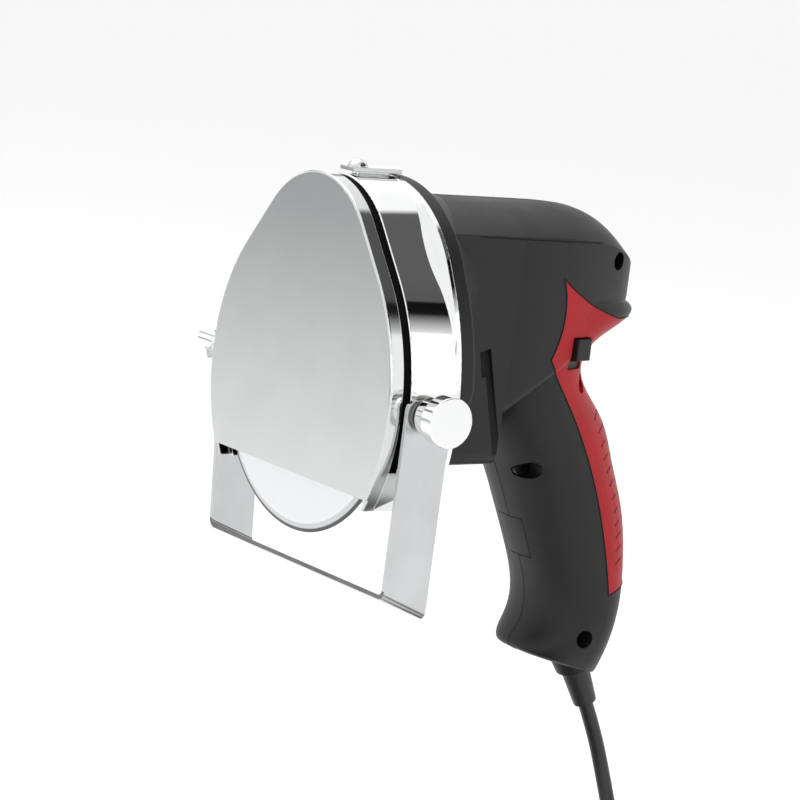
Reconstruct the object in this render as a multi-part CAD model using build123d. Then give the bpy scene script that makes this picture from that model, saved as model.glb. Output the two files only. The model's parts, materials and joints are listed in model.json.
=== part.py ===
from build123d import *
import os
from math import acos, asin, atan2, ceil, cos, degrees, hypot, pi, radians, sin, sqrt, tan

# Hand-held electric kebab slicer, in millimetres.
# The pieces are drawn from the head: X is across the tool, Y runs from the cover face to the rear,
# Z is up, and the blade turns about the line X = 0, Z = 0.
# Each piece is then written with the middle of the grip at the origin.
os.makedirs("parts", exist_ok=True)

# Fits shared by all pieces
running_gap = 0.05
press_gap = 0.02
seat_gap = 0.1
moving_gap = 0.3
overrun = 3.0

# Place of the grip's centre, seen from the head
grip_reach = 121.5
grip_drop = 58.0

# Outline of the head: two side arcs, two flanks and a cap, cut flat below
head_half_width = 53.8
head_side_offset = 12.2
head_cap_radius = 34.0
head_cap_height = 36.0
head_floor = -34.0

# Rounder outline of the rear flange and of the housing's rim
rim_side_offset = 30.0
rim_cap_radius = 46.0
rim_cap_height = 24.0

# Front cover
cover_depth = 5.0
cover_wall = 1.2
cover_floor = -30.0
cover_edge_round = 0.8
cover_stud_diameter = 4.0
cover_stud_rows = ((0.0, 61.5), (-21.5, 51.5), (21.5, 51.5))
cover_nut_width = 7.0
cover_nut_height = 3.2

# Blade and its screw
blade_diameter = 100.0
blade_thickness = 1.2
blade_set_back = 3.7
blade_bevel_width = 2.8
blade_edge_thickness = 0.3
blade_hole_diameter = 5.4
drive_pin_diameter = 3.0
drive_pin_circle = 14.0
drive_pin_count = 2
blade_screw_head_diameter = 15.0
blade_screw_head_height = 1.6
blade_screw_diameter = 5.0
blade_screw_length = 12.0
blade_screw_slot = 1.2
blade_screw_slot_depth = 0.7

# Gasket between the cover and the gear case
gasket_thickness = 3.2
gasket_set_in = 1.2
gasket_width = 5.0
gasket_floor = -20.0

# Gear case, its rear flange and its back plate
case_wall = 2.6
case_front_wall = 2.5
case_rear = 27.5
case_flange_thickness = 1.6
case_edge_round = 0.5
case_lip_width = 3.0
back_plate_thickness = 3.0
case_boss_diameter = 8.0
case_boss_points = ((-41.0, 8.0), (41.0, 8.0), (-30.0, 40.0), (30.0, 40.0))
case_screw_diameter = 3.5
case_screw_head_diameter = 7.0
case_screw_head_height = 2.4
case_screw_depth = 9.0

# Gear train
gear_module = 1.2
gear_teeth = 48
pinion_teeth = 12
gear_width = 6.0
pinion_width = 7.5
gear_front = 17.2
gear_web_thickness = 2.6
gear_rim_width = 4.0
gear_hub_diameter = 20.0
gear_lighting_holes = 6
gear_lighting_diameter = 8.0
tooth_tip_share = 0.22
tooth_root_share = 0.66
tooth_mid_share = 0.45
dedendum_share = 1.2

# Spindle and its bearings
spindle_diameter = 10.0
spindle_flange_diameter = 24.0
spindle_flange_thickness = 2.0
bearing_diameter = 22.0
bearing_width = 6.0
bearing_race_width = 2.2
bearing_groove_depth = 0.5
bearing_boss_wall = 2.4

# Motor
motor_height = 36.0
shaft_diameter = 6.0
shaft_front = 14.6
shaft_rear = 111.0
motor_bearing_diameter = 17.0
motor_bearing_width = 5.0
rear_bearing_front = 105.0
fan_front = 35.5
fan_width = 8.0
fan_diameter = 42.0
fan_blades = 9
fan_blade_thickness = 1.4
fan_hub_diameter = 14.0
fan_disc_thickness = 1.4
stator_front = 53.0
stator_length = 30.0
stator_width = 43.0
stator_height = 45.0
stator_wall = 4.5
stator_pole_share = 0.62
air_gap = 0.5
armature_diameter = 26.0
armature_slots = 9
armature_slot_width = 2.2
armature_slot_depth = 5.0
winding_overhang = 6.5
winding_round = 2.0
field_coil_thickness = 3.6
field_coil_overhang = 6.0
commutator_diameter = 16.0
commutator_front = 91.5
commutator_length = 10.0
commutator_bars = 12
commutator_cut = 0.5
brush_width = 4.0
brush_length = 7.5
brush_holder_wall = 1.2
brush_spring_thickness = 0.5
brush_rear_gap = 1.0

# Housing: motor body in sections from front to rear
housing_wall = 3.0
rim_depth = 6.0
rim_floor = -3.0
rim_corner = 10.5
rim_rear_round = 1.5
neck_length = 17.0
neck_step = 2.0
neck_half_width = 28.0
neck_side_offset = 24.0
neck_cap_radius = 27.0
neck_cap_height = 35.5
neck_corner = 2.5
body_length = 102.0
body_half_width = 30.0
body_roof = 64.0
body_crease = 55.0
body_lower_crease = 37.0
body_floor = -24.0
body_side_draft = 1.8
body_corner = 5.0
nose_length = 39.5
body_floor_rise = 54.0

# Motor body behind the nose: shares at its front and rear, and the two powers of the curve between
body_sections = 8
body_width_shares = (0.89, 0.20, 2.0, 0.67)
body_roof_shares = (0.998, 0.69, 5.5, 1.4)
body_crease_shares = (0.99, 0.76, 3.0, 0.67)
body_lower_shares = (1.0, 0.96, 2.0, 1.0)
body_floor_rise_shares = (0.30, 1.0, 1.0, 1.0)

# Housing: handle in level sections from the top down
handle_top = 33.0
handle_height = 134.0
handle_half_width = 20.0
handle_depth = 46.0
handle_front = 80.0
handle_squareness = 2.35
handle_drop_shares = (0.0, 0.105, 0.215, 0.31, 0.43, 0.565, 0.685, 0.77, 0.835, 0.905, 0.955, 0.99)
handle_front_shares = (-0.19, -0.19, -0.19, -0.14, 0.08, 0.28, 0.44, 0.54, 0.57, 0.53, 0.46, 0.66)
handle_rear_shares = (0.95, 0.84, 0.705, 0.93, 1.10, 1.262, 1.335, 1.354, 1.343, 1.29, 1.255, 1.22)
handle_width_shares = (1.10, 1.13, 1.14, 1.12, 1.08, 1.03, 0.99, 0.98, 0.98, 0.99, 0.90, 0.70)
handle_taper_shares = (0.14, 0.14, 0.12, 0.09, 0.05, 0.02, 0.0, 0.0, 0.0, 0.0, 0.0, 0.0)
handle_tilt_shares = (0.0, 0.0, 0.0, 0.0, 0.0, 0.0, 0.0, 0.0, 0.1, 0.5, 0.85, 1.0)
handle_floor_tilt = 14.0
section_points = 14

# Side slot of the nose
slot_top_y = 55.5
slot_top_z = 16.0
slot_bottom_y = 66.5
slot_bottom_z = -22.0
slot_width = 3.2
slot_head_width = 4.8
slot_head_length = 9.0
slot_depth = 5.0

# Shell screws: place along Y and Z, seen from the side
shell_screw_points = ((115.4, 46.1), (90.0, -27.8), (119.8, -87.5))
shell_screw_diameter = 3.0
shell_screw_head_diameter = 5.6
shell_screw_head_height = 2.4
shell_screw_length = 16.0
shell_screw_seat = 8.0
well_diameter = 6.4
shell_boss_diameter = 10.0

# Red grip insert: its outline seen from the side
insert_thickness = 1.6
insert_tip = (86.5, 40.5)
insert_brow = (101.0, 32.2)
insert_top_rear = (118.0, 26.4)
insert_waist_high = (89.2, 26.0)
insert_waist_corner = (85.4, 12.6)
insert_waist_low = (92.9, 2.4)
insert_palm = (107.2, -18.4)
insert_palm_low = (119.8, -44.4)
insert_heel = (128.3, -72.0)
insert_heel_rear = (148.0, -65.5)
insert_far_rear = 160.0
groove_count = 13
groove_top = -10.0
groove_pitch = 4.5
groove_width = 0.9
groove_depth = 0.8
groove_half_span = 17.5
groove_slant = 28.0
teardrop_y = 99.5
teardrop_z = 2.6
teardrop_width = 5.0
teardrop_length = 9.0
teardrop_floor = 0.4

# Slide switch on the right of the waist
switch_y = 93.4
switch_z = 14.5
switch_turn = 16.0
switch_reach = 22.3
switch_width = 7.6
switch_height = 7.6
switch_proud = 2.4
switch_travel = 3.0
switch_pocket_width = 9.2
switch_pocket_height = 11.4
switch_stem = 3.0
switch_stem_length = 2.0
switch_base_width = 12.0
switch_base_height = 16.0
switch_base_depth = 4.0

# Trigger in the front of the handle
trigger_z = -54.0
trigger_lean = 26.0
trigger_height = 15.0
trigger_width = 13.0
trigger_thickness = 4.0
trigger_flange = 2.0
trigger_flange_thickness = 1.5
trigger_travel = 2.5
trigger_switch_width = 10.0
trigger_switch_depth = 9.0
trigger_switch_height = 16.0
trigger_spring_thickness = 0.5
trigger_spring_rise = 0.8
trigger_spring_width = 5.0

# Thickness guide
guide_axis_y = 13.2
guide_axis_z = 0.0
guide_width = 17.2
guide_thickness = 1.5
guide_half_width_top = 56.8
guide_half_width_bottom = 53.6
guide_front = 5.2
guide_bottom = -61.4
guide_top = 4.8
guide_bar_tilt = 23.6
guide_bend_radius = 3.2
guide_corner = 3.0
guide_hole_diameter = 6.3
guide_rest_tilt = 1.4

# Guide pivots and knobs
pivot_diameter = 5.0
pivot_pad_diameter = 12.0
pivot_clear = 0.8
washer_diameter = 11.0
washer_thickness = 0.8
pivot_length = 10.0
knob_diameter = 16.6
knob_rim_length = 5.7
knob_hub_diameter = 13.0
knob_hub_length = 5.6
knob_edge_round = 0.6
star_diameter = 18.0
star_length = 11.0
star_lobes = 5
star_cut_diameter = 9.0
star_cut_depth = 2.6
star_edge_round = 1.0

# Clip on top of the head
clip_width = 9.0
clip_length = 21.0
clip_front = 9.4
clip_thickness = 1.4
clip_foot_height = 0.8
clip_screw_head_diameter = 7.4
clip_screw_head_height = 2.6
clip_screw_diameter = 3.5
clip_screw_length = 6.0
clip_screw_inset = 5.0

# Gland and boot where the cord leaves the handle
gland_y = 130.5
gland_z = -98.5
gland_lean = 27.6
gland_diameter = 15.6
gland_tip_diameter = 13.6
gland_length = 4.6
boot_root_length = 8.0
boot_length = 15.0
boot_root_diameter = 10.4
boot_tip_diameter = 8.4
clamp_length = 15.0
clamp_width = 4.0
clamp_thickness = 1.4
clamp_rise = 10.3
cord_entry_length = 18.0

# Mains cord: free route, coil, tie and plug
cord_diameter = 5.4
cord_bend_share = 0.45
cord_points = (
    (0.0, 18.08, -57.87),
    (0.0, 24.16, -69.5),
    (1.5, 28.7, -83.2),
    (7.0, 30.0, -97.0),
    (16.5, 27.5, -109.0),
    (28.5, 21.0, -115.4),
    (40.5, 10.5, -116.2),
    (48.5, -3.5, -116.2),
    (51.55, -17.5, -116.2),
    (51.55, -29.5, -116.2),
)
coil_pitch = 5.9
coil_inner_radius = 21.4
coil_half_turns_down = 7
coil_half_turns_up = 6
coil_exit_radius = 28.0
tie_width = 5.0
tie_thickness = 0.8
tie_gap = 0.3
plug_length = 36.0
plug_width = 26.0
plug_height = 19.0
plug_neck_length = 14.0
plug_neck_tip_diameter = 8.4
plug_neck_root_diameter = 12.0
plug_round = 5.0
pin_diameter = 4.0
pin_length = 19.0
pin_spacing = 18.6

# Sizes that follow from those above
head_top = head_cap_height + head_cap_radius
gasket_front = cover_depth
case_front = cover_depth + gasket_thickness
back_plate_front = case_rear - back_plate_thickness
collar_front = case_rear
rim_rear = collar_front + rim_depth
nose_rear = collar_front + nose_length
blade_rear = blade_set_back + blade_thickness
spindle_flange_rear = blade_rear + spindle_flange_thickness
switch_base_outer = switch_reach - seat_gap - housing_wall
washer_start = guide_half_width_top + pivot_clear
knob_start = washer_start + washer_thickness + moving_gap
pivot_tip = washer_start + washer_thickness + pivot_length
trigger_flange_rear = trigger_thickness + trigger_flange_thickness
trigger_switch_front = trigger_flange_rear + trigger_travel + moving_gap + trigger_spring_rise


def across(y):
    """Plane square to the tool's length, at y, with Z up."""
    return Plane.XZ.offset(-y)


def slab(face, start, end):
    """Solid of a face drawn in X and Z, from start to end along Y."""
    return extrude(across(start) * face, -(end - start))


def disc(diameter, start, end, x=0.0, z=0.0):
    """Round solid along Y."""
    return slab(Pos(x, z) * Circle(diameter / 2), start, end)


def ring(outer, inner, start, end, x=0.0, z=0.0):
    """Round solid along Y with a bore."""
    return disc(outer, start, end, x, z) - disc(inner, start - overrun, end + overrun, x, z)


def bar_across(diameter, start, end, y, z):
    """Round solid along X."""
    return Plane.YZ.offset(start) * Pos(y, z) * extrude(Circle(diameter / 2), end - start)


def head_face(half_width, side_offset, cap_radius, cap_height, floor, inset=0.0):
    """Outline of the head, drawn inwards by inset."""
    side = half_width + side_offset - inset
    cap = cap_radius - inset
    base = floor + inset
    reach = hypot(side_offset, cap_height)
    turn = atan2(cap_height, side_offset) - acos((side - cap) / reach)
    foot_turn = asin(base / side)
    mid_turn = (turn + foot_turn) / 2
    foot = (side * cos(foot_turn) - side_offset, base)
    middle = (side * cos(mid_turn) - side_offset, side * sin(mid_turn))
    shoulder = (side * cos(turn) - side_offset, side * sin(turn))
    temple = (cap * cos(turn), cap_height + cap * sin(turn))
    right = [foot, middle, shoulder, temple]
    left = [(-x, z) for x, z in right]
    edges = [
        Line(left[0], right[0]),
        ThreePointArc(right[0], right[1], right[2]),
        Line(right[2], right[3]),
        ThreePointArc(right[3], (0, cap_height + cap), left[3]),
        Line(left[3], left[2]),
        ThreePointArc(left[2], left[1], left[0]),
    ]
    return make_face(Wire(edges))


def egg_face(inset=0.0, floor=head_floor):
    """Outline of the cover and of the gear case."""
    return head_face(head_half_width, head_side_offset, head_cap_radius, head_cap_height, floor, inset)


def rim_face(inset=0.0, floor=head_floor):
    """Rounder outline of the rear flange."""
    return head_face(head_half_width, rim_side_offset, rim_cap_radius, rim_cap_height, floor, inset)


def gear_face(teeth):
    """Spur gear outline with straight-sided teeth."""
    pitch_radius = gear_module * teeth / 2
    tip = pitch_radius + gear_module
    root = pitch_radius - dedendum_share * gear_module
    points = []
    step = 2 * pi / teeth
    for index in range(teeth):
        middle = index * step
        for radius, share in ((root, -tooth_root_share), (pitch_radius, -tooth_mid_share),
                              (tip, -tooth_tip_share), (tip, tooth_tip_share),
                              (pitch_radius, tooth_mid_share), (root, tooth_root_share)):
            angle = middle + share * step / 2
            points.append((radius * cos(angle), radius * sin(angle)))
    return make_face(Polyline(*points, close=True))


def front_cover():
    """Polished cap over the upper part of the blade, with three welded studs."""
    shell = slab(egg_face(), 0, cover_depth)
    rim_edges = shell.edges().filter_by(lambda e: abs(e.center().Y) < seat_gap)
    shell = fillet(rim_edges, cover_edge_round)
    shell -= slab(egg_face(cover_wall, head_floor - overrun), cover_wall, cover_depth + overrun)
    lower = cover_floor - head_floor
    window = Rectangle(2 * (head_half_width - cover_depth), lower * 2)
    shell -= slab(Pos(0, head_floor) * window, -overrun, cover_wall)
    for x, z in cover_stud_rows:
        shell += disc(cover_stud_diameter, cover_wall, case_front + case_front_wall + cover_nut_height, x, z)
    return shell


def cover_nuts():
    """Nuts inside the gear case that draw the cover back."""
    start = case_front + case_front_wall
    nuts = []
    for x, z in cover_stud_rows:
        body = slab(Pos(x, z) * RegularPolygon(cover_nut_width / 2, 6), start, start + cover_nut_height)
        nuts.append(body - disc(cover_stud_diameter + 2 * press_gap, start - overrun,
                                start + cover_nut_height + overrun, x, z))
    return nuts


def gasket():
    """Black strip between the cover and the gear case, open below."""
    face = egg_face(gasket_set_in, gasket_floor)
    hollow = egg_face(gasket_set_in + gasket_width, head_floor)
    body = slab(face, gasket_front, case_front)
    body -= slab(hollow, gasket_front - overrun, case_front + overrun)
    for x, z in cover_stud_rows:
        body -= disc(cover_stud_diameter + 2 * seat_gap, gasket_front - overrun, case_front + overrun, x, z)
    return body


def case_cavity(start, end, inset=case_wall):
    """Space inside the gear case."""
    return slab(egg_face(inset), start, end)


def gear_case():
    """Chromed gear case: front wall, side wall, forward lip below and a rounder rear flange."""
    body = slab(egg_face(), case_front, case_rear)
    front_edges = body.edges().filter_by(lambda e: abs(e.center().Y - case_front) < seat_gap)
    body = fillet(front_edges, case_edge_round)
    body += slab(rim_face(), case_rear - case_flange_thickness, case_rear)
    lip = slab(egg_face(), cover_depth + seat_gap, case_front + case_edge_round)
    lip -= slab(egg_face(case_lip_width, head_floor - overrun), 0, case_rear)
    keep_height = gasket_floor - seat_gap - head_floor
    keep = Rectangle(4 * head_half_width, 2 * keep_height)
    body += lip & slab(Pos(0, head_floor) * keep, 0, case_rear)
    inner_front = case_front + case_front_wall
    body -= case_cavity(inner_front, case_rear + overrun)
    boss_end = inner_front + bearing_width
    body += disc(bearing_diameter + 2 * bearing_boss_wall, inner_front, boss_end)
    body += disc(shaft_diameter + 2 * bearing_boss_wall, inner_front, shaft_front + overrun / 2, 0, motor_height)
    for x, z in case_boss_points:
        body += disc(case_boss_diameter, inner_front, back_plate_front, x, z)
    body -= disc(bearing_diameter + 2 * press_gap, inner_front, boss_end + overrun)
    body -= disc(spindle_diameter + 2 * moving_gap, case_front - overrun, case_rear)
    body -= disc(shaft_diameter + 2 * moving_gap, shaft_front - moving_gap, case_rear, 0, motor_height)
    for x, z in cover_stud_rows:
        body -= disc(cover_stud_diameter + 2 * seat_gap, case_front - overrun, inner_front + overrun, x, z)
    for x, z in case_boss_points:
        body -= disc(case_screw_diameter + 2 * press_gap, back_plate_front - case_screw_depth, case_rear, x, z)
    for side in (-1, 1):
        inner = side * (head_half_width - case_wall - overrun)
        outer = side * (head_half_width + overrun)
        body -= bar_across(pivot_diameter + 2 * press_gap, inner, outer, guide_axis_y, guide_axis_z)
    return body - clip_screw_hole()


def clip_screw_hole():
    """Hole of the clip's screw in the top of the gear case."""
    y = clip_front + clip_screw_inset
    depth = clip_screw_length + overrun
    return Pos(0, y, head_top + overrun) * extrude(Circle(clip_screw_diameter / 2 + press_gap), -depth - overrun)


def gear_case_back():
    """Plate that closes the gear case and carries the rear bearings."""
    body = slab(egg_face(case_wall + seat_gap), back_plate_front, case_rear)
    spindle_rear = case_rear + bearing_width
    body += disc(bearing_diameter + 2 * bearing_boss_wall, case_rear, spindle_rear)
    motor_rear = case_rear + motor_bearing_width
    body += disc(motor_bearing_diameter + 2 * bearing_boss_wall, case_rear, motor_rear, 0, motor_height)
    body -= disc(bearing_diameter + 2 * press_gap, case_rear, spindle_rear + overrun)
    body -= disc(spindle_diameter + 2 * moving_gap, back_plate_front - overrun, spindle_rear)
    body -= disc(motor_bearing_diameter + 2 * press_gap, case_rear, motor_rear + overrun, 0, motor_height)
    body -= disc(shaft_diameter + 2 * moving_gap, back_plate_front - overrun, motor_rear, 0, motor_height)
    for x, z in case_boss_points:
        hole = case_screw_diameter + 2 * seat_gap
        body -= disc(hole, back_plate_front - overrun, case_rear + overrun, x, z)
    return body


def case_screws():
    """Four screws from inside the housing, through its front wall and the back plate."""
    seat = collar_front + housing_wall
    screws = []
    for x, z in case_boss_points:
        tip = back_plate_front - case_screw_depth + seat_gap
        screw = disc(case_screw_diameter, tip, seat, x, z)
        screw += disc(case_screw_head_diameter, seat, seat + case_screw_head_height, x, z)
        screws.append(screw)
    return screws


def top_clip():
    """Small plate on the crown of the gear case, held by one dome screw."""
    seat = head_top + clip_foot_height
    plate = Pos(0, clip_front + clip_length / 2, seat + clip_thickness / 2)
    plate = plate * Box(clip_width, clip_length, clip_thickness)
    plate = fillet(plate.edges().filter_by(Axis.Z), clip_width / 4)
    foot = Pos(0, clip_front + clip_length / 2, seat - clip_width / 4)
    foot = foot * Box(clip_width / 2, clip_length - clip_width, clip_width / 2)
    foot -= slab(egg_face(-press_gap), 0, case_rear + overrun)
    plate += foot
    hole = Pos(0, clip_front + clip_screw_inset, head_top - overrun)
    return plate - hole * extrude(Circle(clip_screw_diameter / 2 + seat_gap), clip_screw_length + overrun)


def clip_screw():
    """Dome-headed screw of the top clip."""
    seat = head_top + clip_foot_height + clip_thickness
    radius = clip_screw_head_diameter / 2
    dome = (radius**2 + clip_screw_head_height**2) / (2 * clip_screw_head_height)
    lean = asin(radius / dome) / 2
    profile = Wire([
        Line((0, 0), (radius, 0)),
        ThreePointArc((radius, 0), (dome * sin(lean), dome * cos(lean) - dome + clip_screw_head_height),
                      (0, clip_screw_head_height)),
        Line((0, clip_screw_head_height), (0, 0)),
    ])
    head = revolve(Plane.XZ * make_face(profile), Axis.Z)
    shank = extrude(Circle(clip_screw_diameter / 2), -clip_screw_length)
    return Pos(0, clip_front + clip_screw_inset, seat) * (head + shank)


def blade():
    """Round blade, ground on its front face."""
    radius = blade_diameter / 2
    inner = blade_hole_diameter / 2
    ground = radius - blade_bevel_width
    profile = Polyline((inner, 0), (ground, 0), (radius, blade_thickness - blade_edge_thickness),
                       (radius, blade_thickness), (inner, blade_thickness), close=True)
    body = revolve(Plane.XY * make_face(profile), Axis.Y)
    body = Pos(0, blade_set_back, 0) * body
    for hole in drive_pins(seat_gap):
        body -= hole
    return body


def drive_pins(gap=0.0):
    """Pins of the spindle flange that turn the blade."""
    pins = []
    for index in range(drive_pin_count):
        angle = 2 * pi * index / drive_pin_count
        x = drive_pin_circle / 2 * cos(angle)
        z = drive_pin_circle / 2 * sin(angle)
        start = blade_set_back + (seat_gap if gap == 0 else -overrun)
        pins.append(disc(drive_pin_diameter + 2 * gap, start, blade_rear + press_gap, x, z))
    return pins


def blade_screw():
    """Wide flat screw that clamps the blade to the spindle."""
    front = blade_set_back - blade_screw_head_height
    body = disc(blade_screw_head_diameter, front, blade_set_back)
    body = fillet(body.edges().sort_by(Axis.Y)[:1], blade_screw_slot_depth / 2)
    body += disc(blade_screw_diameter, blade_set_back, blade_set_back + blade_screw_length)
    slot = Rectangle(blade_screw_head_diameter + overrun, blade_screw_slot)
    return body - slab(slot, front - overrun, front + blade_screw_slot_depth)


def spindle():
    """Blade spindle with its drive flange and pins."""
    rear = case_rear + bearing_width
    body = disc(spindle_flange_diameter, blade_rear, spindle_flange_rear)
    body += disc(spindle_diameter, spindle_flange_rear, rear)
    for pin in drive_pins():
        body += pin
    hole = blade_screw_length + blade_set_back + seat_gap
    return body - disc(blade_screw_diameter + 2 * press_gap, 0, hole)


def bearing(outer, bore, width, start, z=0.0):
    """Ball bearing drawn as one sealed ring with its race grooves."""
    body = ring(outer, bore + 2 * running_gap, start, start + width, 0, z)
    for face_start in (start - overrun, start + width - bearing_groove_depth):
        middle = (outer + bore) / 2
        end = face_start + overrun + bearing_groove_depth
        body -= ring(middle + bearing_race_width, middle - bearing_race_width, face_start, end, 0, z)
    return body


def drive_gear():
    """Large spur gear on the spindle."""
    end = gear_front + gear_width
    root = gear_module * (gear_teeth / 2 - dedendum_share)
    body = slab(gear_face(gear_teeth), gear_front, end)
    pocket = (gear_width - gear_web_thickness) / 2
    outer = 2 * (root - gear_rim_width)
    for start in (gear_front - overrun, end - pocket):
        body -= ring(outer, gear_hub_diameter, start, start + overrun + pocket)
    for index in range(gear_lighting_holes):
        angle = 2 * pi * index / gear_lighting_holes
        reach = (outer + gear_hub_diameter) / 4
        body -= disc(gear_lighting_diameter, gear_front - overrun, end + overrun,
                     reach * cos(angle), reach * sin(angle))
    return body - disc(spindle_diameter + 2 * press_gap, gear_front - overrun, end + overrun)


def pinion_gear():
    """Small gear on the motor shaft, turned half a tooth to mesh."""
    half_tooth = 180 / pinion_teeth
    start = gear_front + (gear_width - pinion_width) / 2
    face = Pos(0, motor_height) * Rot(0, 0, 90 + half_tooth) * gear_face(pinion_teeth)
    body = slab(face, start, start + pinion_width)
    return body - disc(shaft_diameter + 2 * press_gap, start - overrun, start + pinion_width + overrun,
                       0, motor_height)


def motor_shaft():
    """Armature shaft from the pinion to the rear bearing."""
    return disc(shaft_diameter, shaft_front, shaft_rear, 0, motor_height)


def armature_core():
    """Slotted lamination stack."""
    body = disc(armature_diameter, stator_front, stator_front + stator_length, 0, motor_height)
    for index in range(armature_slots):
        turn = 360 * index / armature_slots
        slot = Pos(0, motor_height) * Rot(0, 0, turn) * Pos(armature_diameter / 2, 0)
        slot = slot * Rectangle(2 * armature_slot_depth, armature_slot_width)
        body -= slab(slot, stator_front - overrun, stator_front + stator_length + overrun)
    return body - disc(shaft_diameter + 2 * press_gap, 0, shaft_rear, 0, motor_height)


def armature_windings():
    """Winding heads at both ends of the stack."""
    heads = []
    diameter = armature_diameter - armature_slot_width
    ends = ((stator_front - winding_overhang, stator_front),
            (stator_front + stator_length, stator_front + stator_length + winding_overhang))
    for start, end in ends:
        head = disc(diameter, start, end, 0, motor_height)
        head = fillet(head.edges(), winding_round)
        heads.append(head - disc(shaft_diameter + 2 * press_gap, 0, shaft_rear, 0, motor_height))
    return heads


def commutator():
    """Copper commutator with its cuts between bars."""
    end = commutator_front + commutator_length
    body = ring(commutator_diameter, shaft_diameter + 2 * press_gap, commutator_front, end, 0, motor_height)
    for index in range(commutator_bars):
        cut = Pos(0, motor_height) * Rot(0, 0, 360 * index / commutator_bars)
        cut = cut * Pos(commutator_diameter / 2, 0) * Rectangle(2 * commutator_cut, commutator_cut)
        body -= slab(cut, commutator_front - overrun, end + overrun)
    return body


def cooling_fan():
    """Radial fan behind the gear case."""
    end = fan_front + fan_width
    body = disc(fan_diameter, end - fan_disc_thickness, end, 0, motor_height)
    body += disc(fan_hub_diameter, fan_front, end, 0, motor_height)
    reach = (fan_diameter + fan_hub_diameter) / 4
    length = (fan_diameter - fan_hub_diameter) / 2 + fan_blade_thickness
    for index in range(fan_blades):
        vane = Pos(0, motor_height) * Rot(0, 0, 360 * index / fan_blades) * Pos(reach - fan_blade_thickness, 0)
        body += slab(vane * Rectangle(length, fan_blade_thickness), fan_front, end)
    return body - disc(shaft_diameter + 2 * press_gap, 0, shaft_rear, 0, motor_height)


def stator_face():
    """Outer outline of the stator stack: a round cut by flats at its sides."""
    return Circle(stator_height / 2) & Rectangle(stator_width, stator_height)


def stator_core():
    """Field stack with an upper and a lower pole."""
    end = stator_front + stator_length
    hole = armature_diameter + 2 * air_gap
    body = slab(Pos(0, motor_height) * stator_face(), stator_front, end)
    window = Circle(stator_height / 2 - stator_wall)
    pole = Rectangle(2 * stator_pole_share * armature_diameter / 2, stator_height)
    body -= slab(Pos(0, motor_height) * (window - pole), stator_front - overrun, end + overrun)
    return body - disc(hole, stator_front - overrun, end + overrun, 0, motor_height)


def field_coils():
    """Field coil round each pole."""
    coils = []
    half = stator_pole_share * armature_diameter / 2
    inner_radius = armature_diameter / 2 + air_gap + moving_gap
    outer_radius = stator_height / 2 - stator_wall - seat_gap
    start = stator_front - field_coil_overhang
    end = stator_front + stator_length + field_coil_overhang
    band = Circle(outer_radius) - Circle(inner_radius)
    for side in (-1, 1):
        zone = Pos(0, side * outer_radius / 2)
        zone = zone * Rectangle(2 * (half + field_coil_thickness), outer_radius)
        face = Pos(0, motor_height) * (band & zone)
        core = Pos(0, motor_height) * Pos(0, side * outer_radius) * Rectangle(2 * (half + seat_gap), 2 * outer_radius)
        coil = slab(face, start, end)
        coil -= slab(core, stator_front - seat_gap, stator_front + stator_length + seat_gap)
        coils.append(coil)
    return coils


def brushes():
    """Carbon brushes on both sides of the commutator."""
    middle = commutator_front + commutator_length / 2
    blocks = []
    for side in (-1, 1):
        x = side * (commutator_diameter / 2 + running_gap + brush_length / 2)
        block = Pos(x, middle, motor_height) * Box(brush_length, brush_width, brush_width)
        blocks.append(block - disc(commutator_diameter + 2 * running_gap, 0, shaft_rear, 0, motor_height))
    return blocks


def brush_holders():
    """Brass boxes that guide the brushes, seated in the shell ribs."""
    middle = commutator_front + commutator_length / 2
    outer = brush_width + 2 * (brush_holder_wall + seat_gap)
    hollow = brush_width + 2 * seat_gap
    length = brush_length
    boxes = []
    for side in (-1, 1):
        x = side * (commutator_diameter / 2 + brush_rear_gap + length / 2)
        box = Pos(x, middle, motor_height) * Box(length, outer, outer)
        box -= Pos(x, middle, motor_height) * Box(length + 2 * overrun, hollow, hollow)
        boxes.append(box)
    return boxes


def brush_springs():
    """Leaf springs that press on the outer ends of the brushes."""
    middle = commutator_front + commutator_length / 2
    springs = []
    for side in (-1, 1):
        end = commutator_diameter / 2 + running_gap + brush_length
        x = side * (end + press_gap + brush_spring_thickness / 2)
        leaf = Pos(x, middle, motor_height)
        leaf = leaf * Box(brush_spring_thickness, brush_width - 2 * seat_gap, brush_width - 2 * seat_gap)
        springs.append(leaf)
    return springs


def eased(shares, along):
    """Share at a place between the front and the rear of the motor body."""
    front, rear, hold, fall = shares
    return rear + (front - rear) * (1 - along**hold) ** fall


def body_section(width_share, roof_share, crease_share, lower_share, rise_share, inset):
    """Upright section of the motor body: crowned roof, two facets a side, level floor."""
    width = body_half_width * width_share - inset
    roof = body_roof * roof_share - inset
    crease = body_crease * crease_share - inset / 2
    lower = body_lower_crease * lower_share
    rise = body_floor_rise * rise_share + inset
    draft = body_side_draft * (1 - rise / (body_lower_crease - body_floor))
    floor = body_floor + rise
    foot = width - draft
    outline = Wire([
        Line((-foot, floor), (foot, floor)),
        Line((foot, floor), (width, lower)),
        Line((width, lower), (width, crease)),
        ThreePointArc((width, crease), (0, roof), (-width, crease)),
        Line((-width, crease), (-width, lower)),
        Line((-width, lower), (-foot, floor)),
    ])
    face = make_face(outline)
    corners = face.vertices().sort_by(Axis.Y)[:2]
    return fillet(corners, min(body_corner, foot / 2))


def nose(inset=0.0):
    """Straight front of the housing, from the collar to the nose's upright rear wall."""
    front = body_section(1, 1, 1, 1, 0, inset)
    rear = body_section(body_width_shares[0], body_roof_shares[0], body_crease_shares[0],
                        body_lower_shares[0], 0, inset)
    return loft([across(collar_front + inset) * front, across(nose_rear - inset) * rear], ruled=True)


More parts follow.
